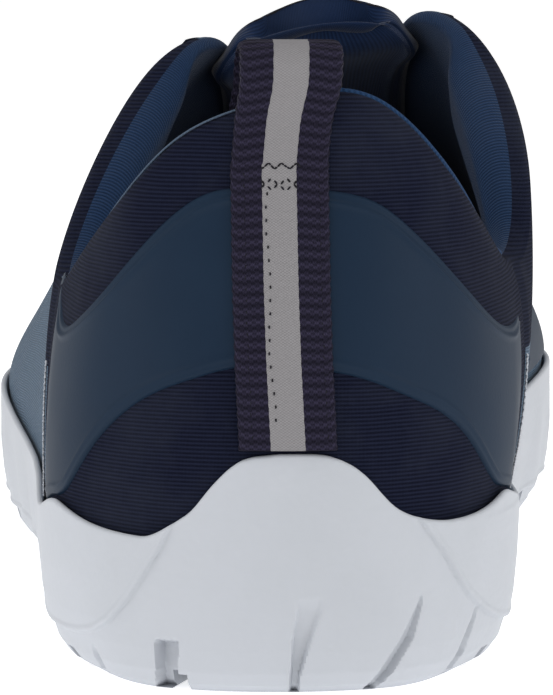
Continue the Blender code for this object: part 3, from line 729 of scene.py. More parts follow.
# %% Grooves at the back of the heel
# Each row of a groove: height, middle, half width and depth, in millimetres
NOTCH = (
    (-1.0, -17.0, 1.7, 2.6),
    (7.2, -17.0, 1.8, 2.6),
    (8.0, -17.0, 1.8, 0.0),
)
FLUTE = (
    (-1.0, 2.6, 0.6, 1.5),
    (3.0, 2.9, 0.8, 1.4),
    (8.0, 3.8, 1.5, 1.1),
    (13.0, 5.0, 2.1, 0.6),
    (15.0, 5.1, 2.1, 0.0),
)
CRESCENT = (
    (-1.0, 13.2, 0.9, 1.3),
    (3.0, 17.0, 1.2, 1.5),
    (8.0, 20.3, 1.1, 1.3),
    (13.0, 22.2, 0.4, 0.6),
    (15.0, 22.5, 0.2, 0.0),
)
NICK = (
    (0.0, 26.0, 0.5, 0.9),
    (4.0, 29.0, 0.7, 1.0),
    (9.0, 31.0, 0.4, 0.7),
    (12.0, 31.8, 0.2, 0.0),
)
SMALL_NICK = (
    (0.0, -26.4, 0.4, 0.5),
    (3.0, -28.0, 0.6, 0.9),
    (5.5, -29.0, 0.3, 0.0),
)
# Each groove with the share of its half width that is flat at the bottom
GROOVES = ((NOTCH, 0.85), (FLUTE, 0.7), (CRESCENT, 0.5), (NICK, 0.4), (SMALL_NICK, 0.4))
GROOVES_END = 30 * MM


def groove_depth(x, height, along):
    """How far the grooves reach in at a place on the back of the sole."""
    depth = np.zeros(len(x))
    for rows, flat_share in GROOVES:
        heights, *measures = (np.array(rows) * MM).T
        middle, half, deep = (np.interp(height, heights, measure) for measure in measures)
        inside = 1 - ease(np.abs(x - middle) / half, flat_share, 1.0)
        depth = np.maximum(depth, deep * inside * (along < GROOVES_END))
    return depth


print("grooves:", len(GROOVES))


# %% The sole's section
BOTTOM_HEIGHTS = np.array((0, 1.2, 3.2, 6.5, 10, 16, 22, 60)) * MM
HEEL_INSETS = np.array((3.4, 1.7, 0.9, 0.5, 0.3, 0.1, 0, 0)) * MM
SIDE_INSETS = np.array((6.2, 3.9, 2.4, 1.4, 0.8, 0.25, 0, 0)) * MM
TREAD_END, SIDE_END, LIP_END, WALL_END = 0.12, 0.86, 0.91, 0.95
PETAL_STEP = 0.6 * MM
PETAL_REST = 0.9 * PETAL_STEP
LIP = 0.55 * MM
LIP_DEPTH = RAND_WALL - 0.1 * MM


def sole_inset(u, above):
    sides = ease(from_heel(u), 0.9, 2.0)
    heel = np.interp(above, BOTTOM_HEIGHTS, HEEL_INSETS)
    side = np.interp(above, BOTTOM_HEIGHTS, SIDE_INSETS)
    return heel + (side - heel) * sides


def side_relief(u, flat, height):
    """How far the sole's side stands out or in at a place."""
    edge = petal_edge(u)
    slope = (petal_edge(u + 0.05) - petal_edge(u - 0.05)) / np.linalg.norm(
        last(u + 0.05)[..., :2] - last(u - 0.05)[..., :2], axis=-1
    )
    away = (height - edge) / np.sqrt(1 + slope**2)
    petal = ease(away, -0.28 * MM, 0.14 * MM)
    shown = 1 - ease(petal_edge(u), 34 * MM, 50 * MM)
    roll = 0.2 * MM * hump(away, 0.45 * MM, 0.8 * MM)
    waves = 0.35 * MM * np.sin(u * 9) * ease(from_heel(u), 3.2, 4.5)
    waves = waves * (1 - ease(height, 14 * MM, 24 * MM))
    raised = (petal * PETAL_STEP + roll) * shown - PETAL_REST + waves
    return raised - groove_depth(flat[:, 0], height, flat[:, 1])


def sole_side(u, height, extra):
    """Places on the sole's side. Above the last's rand they follow the upper."""
    row = last(u)
    out = plan_normal(u)
    above = height - ground(row[..., 1])
    wide = 0.5 * MM * inner_side(u) * hump(from_heel(u), 2.6, 1.6)
    flat = row[..., :2] + out * (wide - sole_inset(u, above) + extra)[:, None]
    high = height > row[..., 2]
    if high.any():
        shares = share_at(u[high], height[high])
        lift = GAP + RAND_WALL + extra[high]
        backed = outer(u[high], shares) + outward(u[high], shares) * lift[:, None]
        blend = ease(height[high] - row[high][..., 2], -4 * MM, 8 * MM)[:, None]
        flat[high] = flat[high] * (1 - blend) + backed[..., :2] * blend
    return xyz(flat + out * side_relief(u, flat, height)[:, None], height)


def sole_place(u, t):
    """The sole's grid: under the tread, up the side, over the lip and down into the cup."""
    row = last(u)
    out = plan_normal(u)
    low = ground(row[..., 1])
    edge = rand_edge(u)
    points = np.empty((len(u), 3))

    part, share = zone(t, 0, TREAD_END)
    rim = row[part][:, :2] - out[part] * sole_inset(u[part], 0 * low[part])[:, None]
    rim = rim - out[part] * PETAL_REST
    flat = hub(u[part]) * (1 - share[:, None]) + rim * share[:, None]
    points[part] = xyz(flat, ground(flat[:, 1]))

    part, share = zone(t, TREAD_END, SIDE_END)
    rise = low[part] + (edge[part] - LIP - low[part]) * share**1.15
    points[part] = sole_side(u[part], rise, np.zeros(part.sum()))

    part, share = zone(t, SIDE_END, LIP_END)
    turn = share * math.pi
    rise = edge[part] - LIP + LIP * np.sin(turn)
    inward = -LIP_DEPTH * (1 - np.cos(turn)) / 2
    points[part] = sole_side(u[part], np.minimum(rise, edge[part]), inward)

    part, share = zone(t, LIP_END, WALL_END)
    top = sole_side(u[part], edge[part] - LIP, np.full(part.sum(), -LIP_DEPTH))
    foot = xyz(row[part][:, :2] - out[part] * CUP_WALL, bed(row[part][:, 1]))
    points[part] = top + (foot - top) * share[:, None]

    part, share = zone(t, WALL_END, 1)
    rim = row[part][:, :2] - out[part] * CUP_WALL
    flat = rim + (hub(u[part]) - rim) * share[:, None]
    points[part] = xyz(flat, bed(flat[:, 1]))
    return points + HOME


sole_rows = stops((0, TREAD_END, SIDE_END, LIP_END, WALL_END, 1), (9, 92, 9, 4, 5))
sole_mesh = lay_grid("rubber_sole", columns(330, 40, 190), sole_rows, sole_place, closed=True)
corners = np.array([vert.co[:] for vert in sole_mesh.vertices])
print("sole, mm:", np.round(corners.min(0) / MM, 1), np.round(corners.max(0) / MM, 1))

# %% White rubber
CLEAN_RUBBER = (0.465, 0.485, 0.525, 1)
WORN_RUBBER = (0.435, 0.455, 0.49, 1)
white_rubber = skin_finish(
    "white_rubber", CLEAN_RUBBER, WORN_RUBBER, 0.55, 0.4, (850.0, 30.0), 0.11 * MM
)
sole = add_piece(sole_mesh, white_rubber, "sole_rubber", "outsole")


# %% Cutting with a solid
def apply_modifiers(piece):
    """Replaces a piece's mesh by the one its modifiers make."""
    bpy.context.view_layer.update()
    seen = piece.evaluated_get(bpy.context.evaluated_depsgraph_get())
    mesh = bpy.data.meshes.new_from_object(seen)
    piece.modifiers.clear()
    piece.data = mesh
    return mesh


def cut_away(piece, fill, solver="EXACT"):
    """Cuts the solid that `fill` makes in a bmesh out of a piece."""
    bm = bmesh.new()
    fill(bm)
    bmesh.ops.recalc_face_normals(bm, faces=bm.faces)
    mesh = bpy.data.meshes.new("cutter")
    bm.to_mesh(mesh)
    bm.free()
    cutter = bpy.data.objects.new("cutter", mesh)
    bpy.context.scene.collection.objects.link(cutter)
    cut = piece.modifiers.new("cut", "BOOLEAN")
    cut.operation = "DIFFERENCE"
    cut.solver = solver
    cut.object = cutter
    mesh = apply_modifiers(piece)
    bpy.data.objects.remove(cutter)
    return mesh


# %% Channels of the tread
LUG_DEPTH = 3.2 * MM
LUG_PITCH = 16.5 * MM
CHANNEL_WIDTH = 3.2 * MM
CHANNEL_BEND = 5 * MM
CHANNEL_CLIMB = 6 * MM
CHANNEL_NOTCH = 1.6 * MM
CHANNEL_BOTTOM = -4 * MM
CLIMB_START = 60 * MM
SHARP_EDGE = math.radians(38)


def add_channel(bm, line):
    """An upright bar along plan places, each with its own top height."""
    line = np.array(line)
    ahead = unit(np.gradient(line[:, :2], axis=0))
    half = np.stack([-ahead[:, 1], ahead[:, 0]], axis=1) * CHANNEL_WIDTH / 2
    made = bmesh.ops.create_grid(bm, x_segments=len(line) - 1, y_segments=1, size=0.5)["verts"]
    for vert in made:
        place = round((vert.co.x + 0.5) * (len(line) - 1))
        flat = line[place, :2] + half[place] * (1 if vert.co.y > 0 else -1) + HOME[:2]
        vert.co = (*flat, line[place, 2])
    faces = list({face for vert in made for face in vert.link_faces})
    grown = bmesh.ops.extrude_face_region(bm, geom=faces)["geom"]
    for vert in grown:
        if isinstance(vert, bmesh.types.BMVert):
            vert.co.z = CHANNEL_BOTTOM


def side_u(station, inner):
    """The u at which the sole's side passes a station."""
    us = np.linspace(0, 12, 241)
    us = us if inner else ROUND - us
    return float(np.interp(station, last(us)[:, 1], us))


def channel_end(station, inner):
    """The places where a cross channel leaves one side. It climbs the side in front of the heel."""
    u = side_u(station, inner)
    edge = last(u)[:2] - plan_normal(u) * float(sole_inset(u, 2 * MM))
    lift = float(ground(station))
    top = LUG_DEPTH + lift
    climb = top if station < CLIMB_START else CHANNEL_CLIMB + lift
    toward = unit(np.array((1 if inner else -1, -0.35)))
    notch = edge - toward * CHANNEL_NOTCH
    return [
        (*(notch - toward * 0.4 * MM), top),
        (*notch, climb),
        (*(edge + toward * 3 * MM), climb),
    ]


def cross_channels(bm):
    """Arrow-shaped channels across the tread, out through both sides."""
    first = HEEL_SEAT - 0.5 * LUG_PITCH - CHANNEL_BEND
    for station in np.arange(first, 0.93 * LENGTH, LUG_PITCH):
        top = LUG_DEPTH + float(ground(station))
        middle = (INSTEP_SHIFT / 2, station + CHANNEL_BEND, top)
        outer_end, inner_end = (channel_end(station, inner) for inner in (False, True))
        add_channel(bm, [*reversed(outer_end), middle, *inner_end])


def long_channels(bm):
    """Two channels along the tread, from the back of the heel to the toes."""
    low = 2.4 * MM
    for start, back, aim in ((-17 * MM, -6 * MM, -11.3 * MM), (14.7 * MM, 9 * MM, 14.7 * MM)):
        line = [(start, back, low), (start, back + 4 * MM, low)]
        for station in np.array((0.06, 0.2, 0.4, 0.6, 0.76, 0.83, 0.9)) * LENGTH:
            line.append((aim, station, LUG_DEPTH + 0.1 * MM + float(ground(station))))
        add_channel(bm, line)


# The exact solver leaves nothing of this sole, so the channels use the other one
for fill in (cross_channels, long_channels):
    tread = cut_away(sole, fill, "MANIFOLD")
    print("faces after", fill.__name__, len(tread.polygons))
tread.shade_smooth()
tread.set_sharp_from_angle(angle=SHARP_EDGE)

# %% [markdown]
# ## The knitted upper
# The upper is one hollow shell. Its grid runs up the outside, over the padded roll of the
# collar, and down the lining to the bed of the cup, where it closes on itself. A Solidify
# modifier would give it an even wall, but the collar's pad needs one that swells.

# %% Section of the upper
OUTSIDE_LOW, OUTSIDE_END, ROLL_END, INSIDE_END = 0.06, 0.52, 0.66, 0.95
STAY_START = 5.5
QUARTER_SEAM = 2.96


def wall(u, s):
    away = from_heel(u)
    padded = 1 - ease(away, 4.8, 6.2)
    ears = (3.2 + 1.4 * inner_side(u)) * MM * hump(away, 4.6, 1.7)
    return KNIT_WALL + (COLLAR_WALL - KNIT_WALL + ears) * padded * ease(s, 0.45, 0.85)


def knit_relief(u, s):
    """Soft swellings and folds of the knitted outside."""
    away = from_heel(u)
    pad = 0.7 * MM * hump(s, 0.88, 0.14) * (1 - ease(away, 2.2, 3.0))
    seam = -0.3 * MM * hump(away, QUARTER_SEAM, 0.07)
    front = 1 - ease(away, 6, 7)
    quarter = 0.3 * MM * ease(away, QUARTER_SEAM + 0.05, QUARTER_SEAM + 0.14) * front
    creases = hump(np.sin(9.5 * (away - 7.6)), 1, 0.5)
    flex = -0.5 * MM * creases * hump(away, 8.3, 1.1) * hump(s, 0.5, 0.5)
    return pad + seam + quarter + flex


def upper_lift(u, s):
    """The relief, level at the foot where the upper goes into the sole."""
    return knit_relief(u, s) * ease(s, 0.02, 0.12)


def upper_place(u, t):
    """The upper's grid: up the outside, over the rolled collar and down the lining."""
    thick = wall(u, np.ones_like(u))
    rim = share_below_top(u, 0.45 * thick)
    share = np.empty_like(u)
    lift = np.zeros_like(u)

    part, run = zone(t, 0, OUTSIDE_LOW)
    share[part] = run - 1
    part, run = zone(t, OUTSIDE_LOW, OUTSIDE_END)
    share[part] = rim[part] * run
    lift[part] = upper_lift(u[part], share[part])
    part, run = zone(t, OUTSIDE_END, ROLL_END)
    share[part] = rim[part] + (1 - rim[part]) * np.sin(run * math.pi)
    lift[part] = -thick[part] * (1 - np.cos(run * math.pi)) / 2
    part, run = zone(t, ROLL_END, INSIDE_END)
    share[part] = rim[part] * (1 - run)
    lift[part] = -wall(u[part], share[part])
    part, run = zone(t, INSIDE_END, 1)
    share[part] = -run
    lift[part] = -KNIT_WALL * (run < 1)
    return on_last(u, share, lift)


upper_marks = (0, OUTSIDE_LOW, OUTSIDE_END, ROLL_END, INSIDE_END)
upper_rows = np.append(stops(upper_marks, (4, 66, 19, 32)), (0.965, 0.98, 0.995, 1.0))


def upper_cloth(u, t):
    """0 for the navy knit of heel and collar, 1 for the lining, 2 for the fore part's knit."""
    away = from_heel(u)
    lining_starts = OUTSIDE_END + (ROLL_END - OUTSIDE_END) * (0.52 - 0.12 * ease(away, 2.2, 3.2))
    share = np.clip((t - OUTSIDE_LOW) / (OUTSIDE_END - OUTSIDE_LOW), 0, 1)
    fore = (away > QUARTER_SEAM + 0.03) & ((share < 0.58) | (away > STAY_START + 0.1))
    return np.where(t > lining_starts, 1, np.where(fore, 2, 0))


upper_mesh = lay_grid(
    "knit_upper", columns(220, 50, 230), upper_rows, upper_place, closed=True, cloth=upper_cloth
)
for finish in (navy_knit, lining_knit, fore_knit):
    upper_mesh.materials.append(finish)
add_piece(upper_mesh, navy_knit, "knit", "upper")

# %% [markdown]
# ## Overlays
# Thin films are welded onto the knit: a band round the heel, a panel on the inner side and the
# lace stay round the throat. Each is a thin closed plate between two lines on the last, with a
# rounded edge. The heel band also has a fine ridge along both of its edges. A plate has rows of
# faces close to its edges only, so the ridges are crisp and the middle stays light.

# %% A plate on the upper
EDGE_ZONE = 3.6 * MM
EDGE_SHARE = 0.15
EDGE_STEPS = (0, 0.1, 0.25, 0.45, 0.7, 1.0, 1.3, 1.6, 1.9, 2.2, 2.6, 3.1, 3.6)
UNDER_KNIT = 0.12 * MM


def lean_of(u, line):
    """Sine of the angle between an edge line and the way up the cloth."""
    along = outer(u + 0.02, line(u + 0.02)) - outer(u - 0.02, line(u - 0.02))
    up = outer(u, line(u) + 0.02) - outer(u, line(u) - 0.02)
    sine = np.linalg.norm(np.cross(along, up), axis=1)
    return sine / np.linalg.norm(along, axis=1) / np.linalg.norm(up, axis=1)


def lay_plate(name, us, between, low, high, relief, fade=0.04):
    """A closed plate on the upper between two lines, given as s for each u. It thins to its ends."""
    edge = np.array(EDGE_STEPS) * MM / EDGE_ZONE * EDGE_SHARE
    middle = np.linspace(EDGE_SHARE, 1 - EDGE_SHARE, between)[1:-1]
    front = np.concatenate([edge, middle, 1 - edge[::-1]])
    rows = np.concatenate([front, 2 - front[-2::-1]])

    def place(u, t):
        on_front = t <= 1
        t = np.where(on_front, t, 2 - t)
        foot, head = low(u), high(u)
        span = np.linalg.norm(outer(u, head) - outer(u, foot), axis=1)
        low_zone = EDGE_ZONE / lean_of(u, low) / span
        high_zone = EDGE_ZONE / lean_of(u, high) / span
        marks = np.stack([0 * u, low_zone, 1 - high_zone, 1 + 0 * u])
        part = np.digitize(t, (EDGE_SHARE, 1 - EDGE_SHARE))
        starts = np.array((0, EDGE_SHARE, 1 - EDGE_SHARE))[part]
        widths = np.array((EDGE_SHARE, 1 - 2 * EDGE_SHARE, EDGE_SHARE))[part]
        first = np.take_along_axis(marks, part[None], axis=0)[0]
        second = np.take_along_axis(marks, part[None] + 1, axis=0)[0]
        along = first + (second - first) * (t - starts) / widths
        share = foot + (head - foot) * along
        from_low = EDGE_ZONE * np.minimum(t / EDGE_SHARE, 1)
        from_high = EDGE_ZONE * np.minimum((1 - t) / EDGE_SHARE, 1)
        ends = ease(u, us[0], us[0] + fade) * (1 - ease(u, us[-1] - fade, us[-1]))
        proud = relief(from_low, from_high) * ends * on_front
        return on_last(u, share, upper_lift(u, share) - UNDER_KNIT + proud)

    return lay_grid(name, us, rows, place, closed=True)


def film_relief(from_low, from_high):
    edge = np.minimum(from_low, from_high)
    return (0.62 * ease(edge, -0.05 * MM, 0.5 * MM) - 0.05) * MM * (edge > 0)


def ridged_relief(from_low, from_high):
    """A film with a fine raised line along both edges."""
    ridges = 0.30 * hump(from_high, 1.9 * MM, 0.6 * MM) + 0.22 * hump(from_low, 1.6 * MM, 0.6 * MM)
    step = 0.14 * ease(from_high, 1.3 * MM, 1.9 * MM)
    inside = (from_low > 0) * (from_high > 0)
    return film_relief(from_low, from_high) + (ridges + step) * MM * inside


# %% Heel band
# u, outer top, inner top, outer bottom, inner bottom, in millimetres
BAND_LINES = (
    (0.00, 77.2, 77.0, 50.4, 50.0),
    (0.40, 77.1, 76.6, 49.8, 49.2),
    (0.60, 76.9, 76.0, 48.5, 48.3),
    (0.80, 76.1, 75.0, 47.2, 46.8),
    (1.00, 74.2, 72.9, 45.6, 45.0),
    (1.20, 71.6, 70.0, 43.3, 43.4),
    (1.40, 68.3, 66.8, 40.0, 41.2),
    (1.60, 64.6, 63.3, 35.8, 38.1),
    (1.80, 60.4, 59.9, 30.6, 33.6),
    (2.00, 57.0, 56.6, 27.1, 29.6),
    (2.15, 54.9, 54.6, 27.0, 28.2),
    (2.30, 53.2, 53.2, 26.4, 27.9),
    (2.45, 53.0, 52.6, 25.4, 27.2),
    (2.60, 54.3, 52.6, 24.6, 26.6),
    (2.80, 59.6, 53.8, 24.0, 25.8),
    (2.90, 63.0, 55.0, 23.7, 25.2),
)
BAND_END = 2.88
BAND_FADE = 0.45
BAND_OFF_RAND = 0.3 * MM


def band_line(outer_column, inner_column):
    table = np.array(BAND_LINES)

    def line(u):
        away = from_heel(u)
        inner = soft_interp(away, table[:, 0], table[:, inner_column], 0.12) * MM
        outside = soft_interp(away, table[:, 0], table[:, outer_column], 0.12) * MM
        height = np.where(inner_side(u) > 0, inner, outside)
        if outer_column == 3:
            height = np.maximum(height, rand_edge(u) + BAND_OFF_RAND)
        return share_at(u, height)

    return line


band_mesh = lay_plate(
    "heel_film",
    np.linspace(-BAND_END, BAND_END, 260),
    26,
    band_line(3, 4),
    band_line(1, 2),
    ridged_relief,
    fade=BAND_FADE,
)

# %% Film
# how strongly it shines, the scales of grain and wear, the relief, how much duller it wears
FILM = (0.12, (2100.0, 26.0), 0.03 * MM, 0.08)
slate_film = skin_finish("slate_film", srgb(17, 35, 54), srgb(22, 40, 59), 0.52, *FILM)
dark_film = skin_finish("dark_film", srgb(13, 18, 34), srgb(19, 25, 42), 0.55, *FILM)
add_piece(band_mesh, slate_film, "overlay_film", "heel_band")

# %% Side panel on the inner side
PANEL_START, PANEL_END = 3.4, 8.6


def panel_low(u):
    return share_at(u, last(u)[..., 2] + 1.5 * MM)


def panel_high(u):
    share = np.clip((u - PANEL_START) / (PANEL_END - PANEL_START), 0, 1)
    return panel_low(u) + 0.10 + 0.42 * np.sin(math.pi * (0.25 + 0.72 * share))


panel_mesh = lay_plate(
    "side_film", np.linspace(PANEL_START, PANEL_END, 110), 12, panel_low, panel_high, film_relief
)
add_piece(panel_mesh, slate_film, "overlay_film", "side_panel")

# %% Lace stay with its holes
STAY_WIDTH = 15 * MM
LACE_HOLE_INSET = 7 * MM
LACE_HOLES = np.linspace(9.0, 6.4, 6)
HOLE_RADIUS = 2.1 * MM
STAY_TOP = 1.2 * MM


def stay_low(u):
    return share_below_top(u, STAY_WIDTH)


def stay_high(u):
    return share_below_top(u, STAY_TOP)


def upright(normal):
    """A turn that takes the z axis to a direction."""
    return Vector(normal).to_track_quat("Z", "Y").to_matrix().to_4x4()


def lace_holes(bm):
    for u in (*LACE_HOLES, *(ROUND - LACE_HOLES)):
        s = share_below_top(u, LACE_HOLE_INSET)
        centre = on_last(np.array([u]), s)[0]
        bmesh.ops.create_cone(
            bm,
            cap_ends=True,
            segments=20,
            radius1=HOLE_RADIUS,
            radius2=HOLE_RADIUS,
            depth=6 * MM,
            matrix=Matrix.Translation(centre) @ upright(outward(u, s)[0]),
        )


stay_mesh = lay_plate(
    "lace_stay",
    np.linspace(STAY_START, ROUND - STAY_START, 300),
    10,
    stay_low,
    stay_high,
    film_relief,
)
stay = add_piece(stay_mesh, dark_film, "overlay_film", "eyestay")
cut_away(stay, lace_holes)
print("lace holes cut:", 2 * len(LACE_HOLES))

# %% [markdown]
# ## Strips: tape, laces and tongue
# A strip is a sheet of places with a thickness. Its front is lifted off its back, and both meet
# at the edges, so it is always closed. The pull loop's tape, the laces and the tongue are
# strips. The tape's cross ribs are real relief, because they show on its outline.


# %% A strip with a front and a back
def lay_strip(name, base, facing, thickness, cloth=None):
    """A closed strip from rows of places, of directions and of how thick it is at each."""
    count, wide = base.shape[:2]
    thickness = thickness.copy()
    thickness[:, (0, -1)] = 0
    thickness[(0, -1), :] = 0

    def place(u, t):
        side, row = u.astype(int), t.astype(int)
        front = side < wide
        across = np.where(front, side, 2 * (wide - 1) - side)
        lift = np.where(front, thickness[row, across], 0)
        return base[row, across] + facing[row, across] * lift[:, None]

    return lay_grid(name, np.arange(2 * wide - 1), np.arange(count), place, closed=True, cloth=cloth)


def smooth_rows(table, count):
    """Resamples rows of numbers along a smooth curve through them."""
    table = np.asarray(table, float)
    padded = np.concatenate([[2 * table[0] - table[1]], table, [2 * table[-1] - table[-2]]])
    place = np.linspace(0, len(table) - 1, count)
    i = np.minimum(place.astype(int), len(table) - 2)
    t = (place - i).reshape((-1,) + (1,) * (table.ndim - 1))
    a, b, c, d = padded[i], padded[i + 1], padded[i + 2], padded[i + 3]
    return b + 0.5 * t * (c - a + t * (2 * a - 5 * b + 4 * c - d + t * (3 * (b - c) + d - a)))


# %% The tape's measures
TAPE_FOOT, TAPE_SEWN, LOOP_TOP = 37.4 * MM, 80.4 * MM, 99 * MM
TAPE_HALF = 7.35 * MM
TAPE_THICKNESS = 1.3 * MM
TAPE_LIFT = 0.5 * MM
RIB_PITCH = 1.7 * MM
ROW_STEP = RIB_PITCH / 6
RIB_RELIEF = 0.065 * MM
RIB_WIDENING = 0.012
STRIPE_SHARE = 0.33
LOOP_BEND = 4.6 * MM
LOOP_BACK = 6.4 * MM - HEEL_SEAT
# height and middle of the tape, in millimetres
TAPE_SLANT = (
    (37.4, 1.75),
    (50.6, 1.1),
    (61.8, 0.75),
    (80.4, 0.45),
    (87.7, 1.1),
    (92.2, 2.2),
    (99.0, 2.3),
)
HALF_SIDES = (1, 0.985, 0.95, 0.88, 0.8, 0.7, 0.6, 0.5, 0.42, 0.345, 0.31, 0.2, 0.1)
TAPE_SIDES = np.array((*(-side for side in HALF_SIDES), 0, *reversed(HALF_SIDES)))
MIDDLE_SIDE = len(HALF_SIDES)


# %% The tape up the heel
def tape_middle(height):
    heights, middles = np.array(TAPE_SLANT).T
    return soft_interp(height / MM, heights, middles, 1.5) * MM


def tape_on_heel(heights):
    """Places and directions across the tape where it is sewn down."""
    us = np.linspace(-1.2, 1.2, 49)
    u, s = [], []
    for height, middle in zip(heights, tape_middle(heights)):
        shares = share_at(us, height)
        row = np.interp(middle + TAPE_HALF * TAPE_SIDES, outer(us, shares)[:, 0], us)
        u.append(row)
        s.append(np.interp(row, us, shares))
    u, s = np.array(u), np.array(s)
    return on_last(u, s, TAPE_LIFT + 0.5 * upper_lift(u, s)), outward(u, s)


def tape_loop(start, bulge):
    """Places and directions across the tape where it stands free and folds over itself."""
    line = [start[1:], (LOOP_BACK - 0.7 * MM, 85.5 * MM), (LOOP_BACK - 0.5 * MM, 90 * MM)]
    for angle in np.linspace(0, math.pi, 9):
        down = TAPE_THICKNESS + 0.7 * LOOP_BEND * (1 - math.sin(angle))
        line.append((LOOP_BACK + LOOP_BEND * (1 - math.cos(angle)), LOOP_TOP - down))
    front = LOOP_BACK + 2 * LOOP_BEND
    line += [(front + 0.3 * MM, 88 * MM), (front + 0.6 * MM, 80 * MM)]
    line = smooth_rows(line, 200)
    steps = np.append(0, np.cumsum(np.linalg.norm(np.diff(line, axis=0), axis=1)))
    even = np.arange(ROW_STEP, steps[-1], ROW_STEP)
    line = np.stack([np.interp(even, steps, line[:, axis]) for axis in (0, 1)], axis=1)
    ahead = unit(np.gradient(line, axis=0))
    over = ease(even, 17 * MM, 28 * MM)
    middle = tape_middle(line[:, 1]) - 1.3 * MM * over
    half = TAPE_HALF + (0.45 * ease(line[:, 1], 84 * MM, 96 * MM) - 0.3 * over) * MM
    places = np.zeros((len(even), len(TAPE_SIDES), 3))
    places[..., 0] = middle[:, None] + half[:, None] * TAPE_SIDES
    places[..., 1] = line[:, :1] + (1 - ease(even, 0, 9 * MM))[:, None] * bulge
    places[..., 2] = line[:, 1:]
    facing = np.zeros_like(places)
    facing[..., 1] = -ahead[:, 1:]
    facing[..., 2] = ahead[:, :1]
    return places, facing


heel_heights = np.arange(TAPE_FOOT, TAPE_SEWN, ROW_STEP)
heel_rows, heel_facing = tape_on_heel(heel_heights)
last_middle = heel_rows[-1, MIDDLE_SIDE]
loop_rows, loop_facing = tape_loop(last_middle, heel_rows[-1, :, 1] - last_middle[1])
tape_base = np.concatenate([heel_rows, loop_rows])
tape_facing = np.concatenate([heel_facing, loop_facing])
print("rows of the tape:", len(heel_rows), "sewn and", len(loop_rows), "free")

# %% The tape's ribs and its stripe
turns = 2 * math.pi * np.arange(len(tape_base)) * ROW_STEP / RIB_PITCH
rounding = np.clip(1 - np.abs(TAPE_SIDES) ** 14, 0, 1) ** 0.5
rib_share = np.where(np.abs(TAPE_SIDES) < STRIPE_SHARE, 0.45, 1.0)
ribs = RIB_RELIEF * np.cos(turns)[:, None] * rib_share
tape_thickness = (TAPE_THICKNESS + ribs) * rounding
centre_line = tape_base[:, MIDDLE_SIDE][:, None]
widening = 1 + RIB_WIDENING * np.sin(turns)[:, None, None]
tape_base = centre_line + (tape_base - centre_line) * widening


def tape_cloth(u, t):
    """1 for the stripe up the tape's middle, 0 beside it."""
    wide = len(TAPE_SIDES)
    across = np.where(u < wide - 1, u, 2 * (wide - 1) - u)
    side = np.interp(across, np.arange(wide), TAPE_SIDES)
    return (np.abs(side) < STRIPE_SHARE).astype(int)


tape_mesh = lay_strip("pull_tape", tape_base, tape_facing, tape_thickness, tape_cloth)

# %% Woven finishes
# The tape's light colour is a painted highlight on its thread tops and rib crests, and its dark colour
# painted shade between them
tape_weave = woven_finish(
    "tape_weave", srgb(2, 2, 9), srgb(58, 54, 76), (0.62, 0.85, 0.16), RIB_PITCH * 1.03
)
stripe_weave = woven_finish(
    "stripe_weave", srgb(104, 102, 104), srgb(150, 148, 150), (0.3, 0.42, 0.07)
)
lace_weave = woven_finish("lace_weave", srgb(6, 8, 18), srgb(36, 40, 60), (0.6, 0.7, 0.12))
tape_mesh.materials.append(tape_weave)
tape_mesh.materials.append(stripe_weave)
add_piece(tape_mesh, tape_weave, "tape", "pull_loop")

# %% [markdown]
# ## Tongue
# The tongue is a soft pad under the laces. Its free end stands up behind the pull loop and is
# rounded by its foam. A cloth simulation could blow it up, but a thickness that swells between
# the edges is quicker and comes out the same each time.

# %% Tongue
TONGUE_THICKNESS = 4.5 * MM
TUCK_LOW, TUCK_HIGH = 14 * MM, 5 * MM
UNDER_WALL = 0.45 * MM
TONGUE_ROWS, TONGUE_COLUMNS = 90, 49
# how steeply the free end stands, in degrees, and its width there as a share
TONGUE_ENDS = ((22, 0.86), (44, 0.77), (66, 0.64), (84, 0.48))


def under_edge(u, distance):
    """A place just under the upper's lining, a distance down from its top edge."""
    s = share_below_top(u, distance)
    return on_last(np.array([u]), s, -wall(u, s) - UNDER_WALL)[0]


def tongue_row(u, tuck):
    """Places across the tongue, tucked under the throat's edges at both sides."""
    left = [under_edge(ROUND - u, d) for d in (tuck, tuck / 2, 0)]
    right = [under_edge(u, d) for d in (0, tuck / 2, tuck)]
    between = []
    for share in (0.22, 0.5, 0.78):
        arch = np.array((0, 0, 1.6 * MM * share * (1 - share)))
        between.append(left[2] * (1 - share) + right[0] * share + arch)
    return np.array([*left, *between, *right])


tongue_rows = []
for u in (9.2, 8.7, 8.2, 7.7, 7.2, 6.7, 6.3, 6.05):
    tongue_rows.append(tongue_row(u, TUCK_HIGH + (TUCK_LOW - TUCK_HIGH) * ease(u, 6.3, 8.2)))
throat = tongue_rows[-1]
throat_middle = throat.mean(axis=0)
across = np.linspace(-1, 1, len(throat))[:, None]
for degrees, narrow in TONGUE_ENDS:
    rise = math.sin(math.radians(degrees))
    flat = throat_middle + (throat[-1] - throat[0]) / 2 * across * narrow
    flat[:, 2] -= 2.5 * MM * across[:, 0] ** 2
    curved = throat_middle + (throat - throat_middle) * narrow
    tongue_rows.append(curved + (flat - curved) * rise + np.array((0, -3, 8)) * MM * rise)
print("rows of the tongue:", len(tongue_rows))


# %% The tongue's pad
def relax(sheet, rounds, hold_edge=False):
    """Evens out a sheet of places or directions, each with its neighbours."""
    for _ in range(rounds):
        wide = np.pad(sheet, ((1, 1), (1, 1), (0, 0)), mode="edge")
        if hold_edge:
            wide[0], wide[:, 0] = 2 * wide[1] - wide[2], 2 * wide[:, 1] - wide[:, 2]
            wide[-1], wide[:, -1] = 2 * wide[-2] - wide[-3], 2 * wide[:, -2] - wide[:, -3]
        sheet = (wide[:-2, 1:-1] + wide[2:, 1:-1] + wide[1:-1, :-2] + wide[1:-1, 2:]) / 4
    return sheet


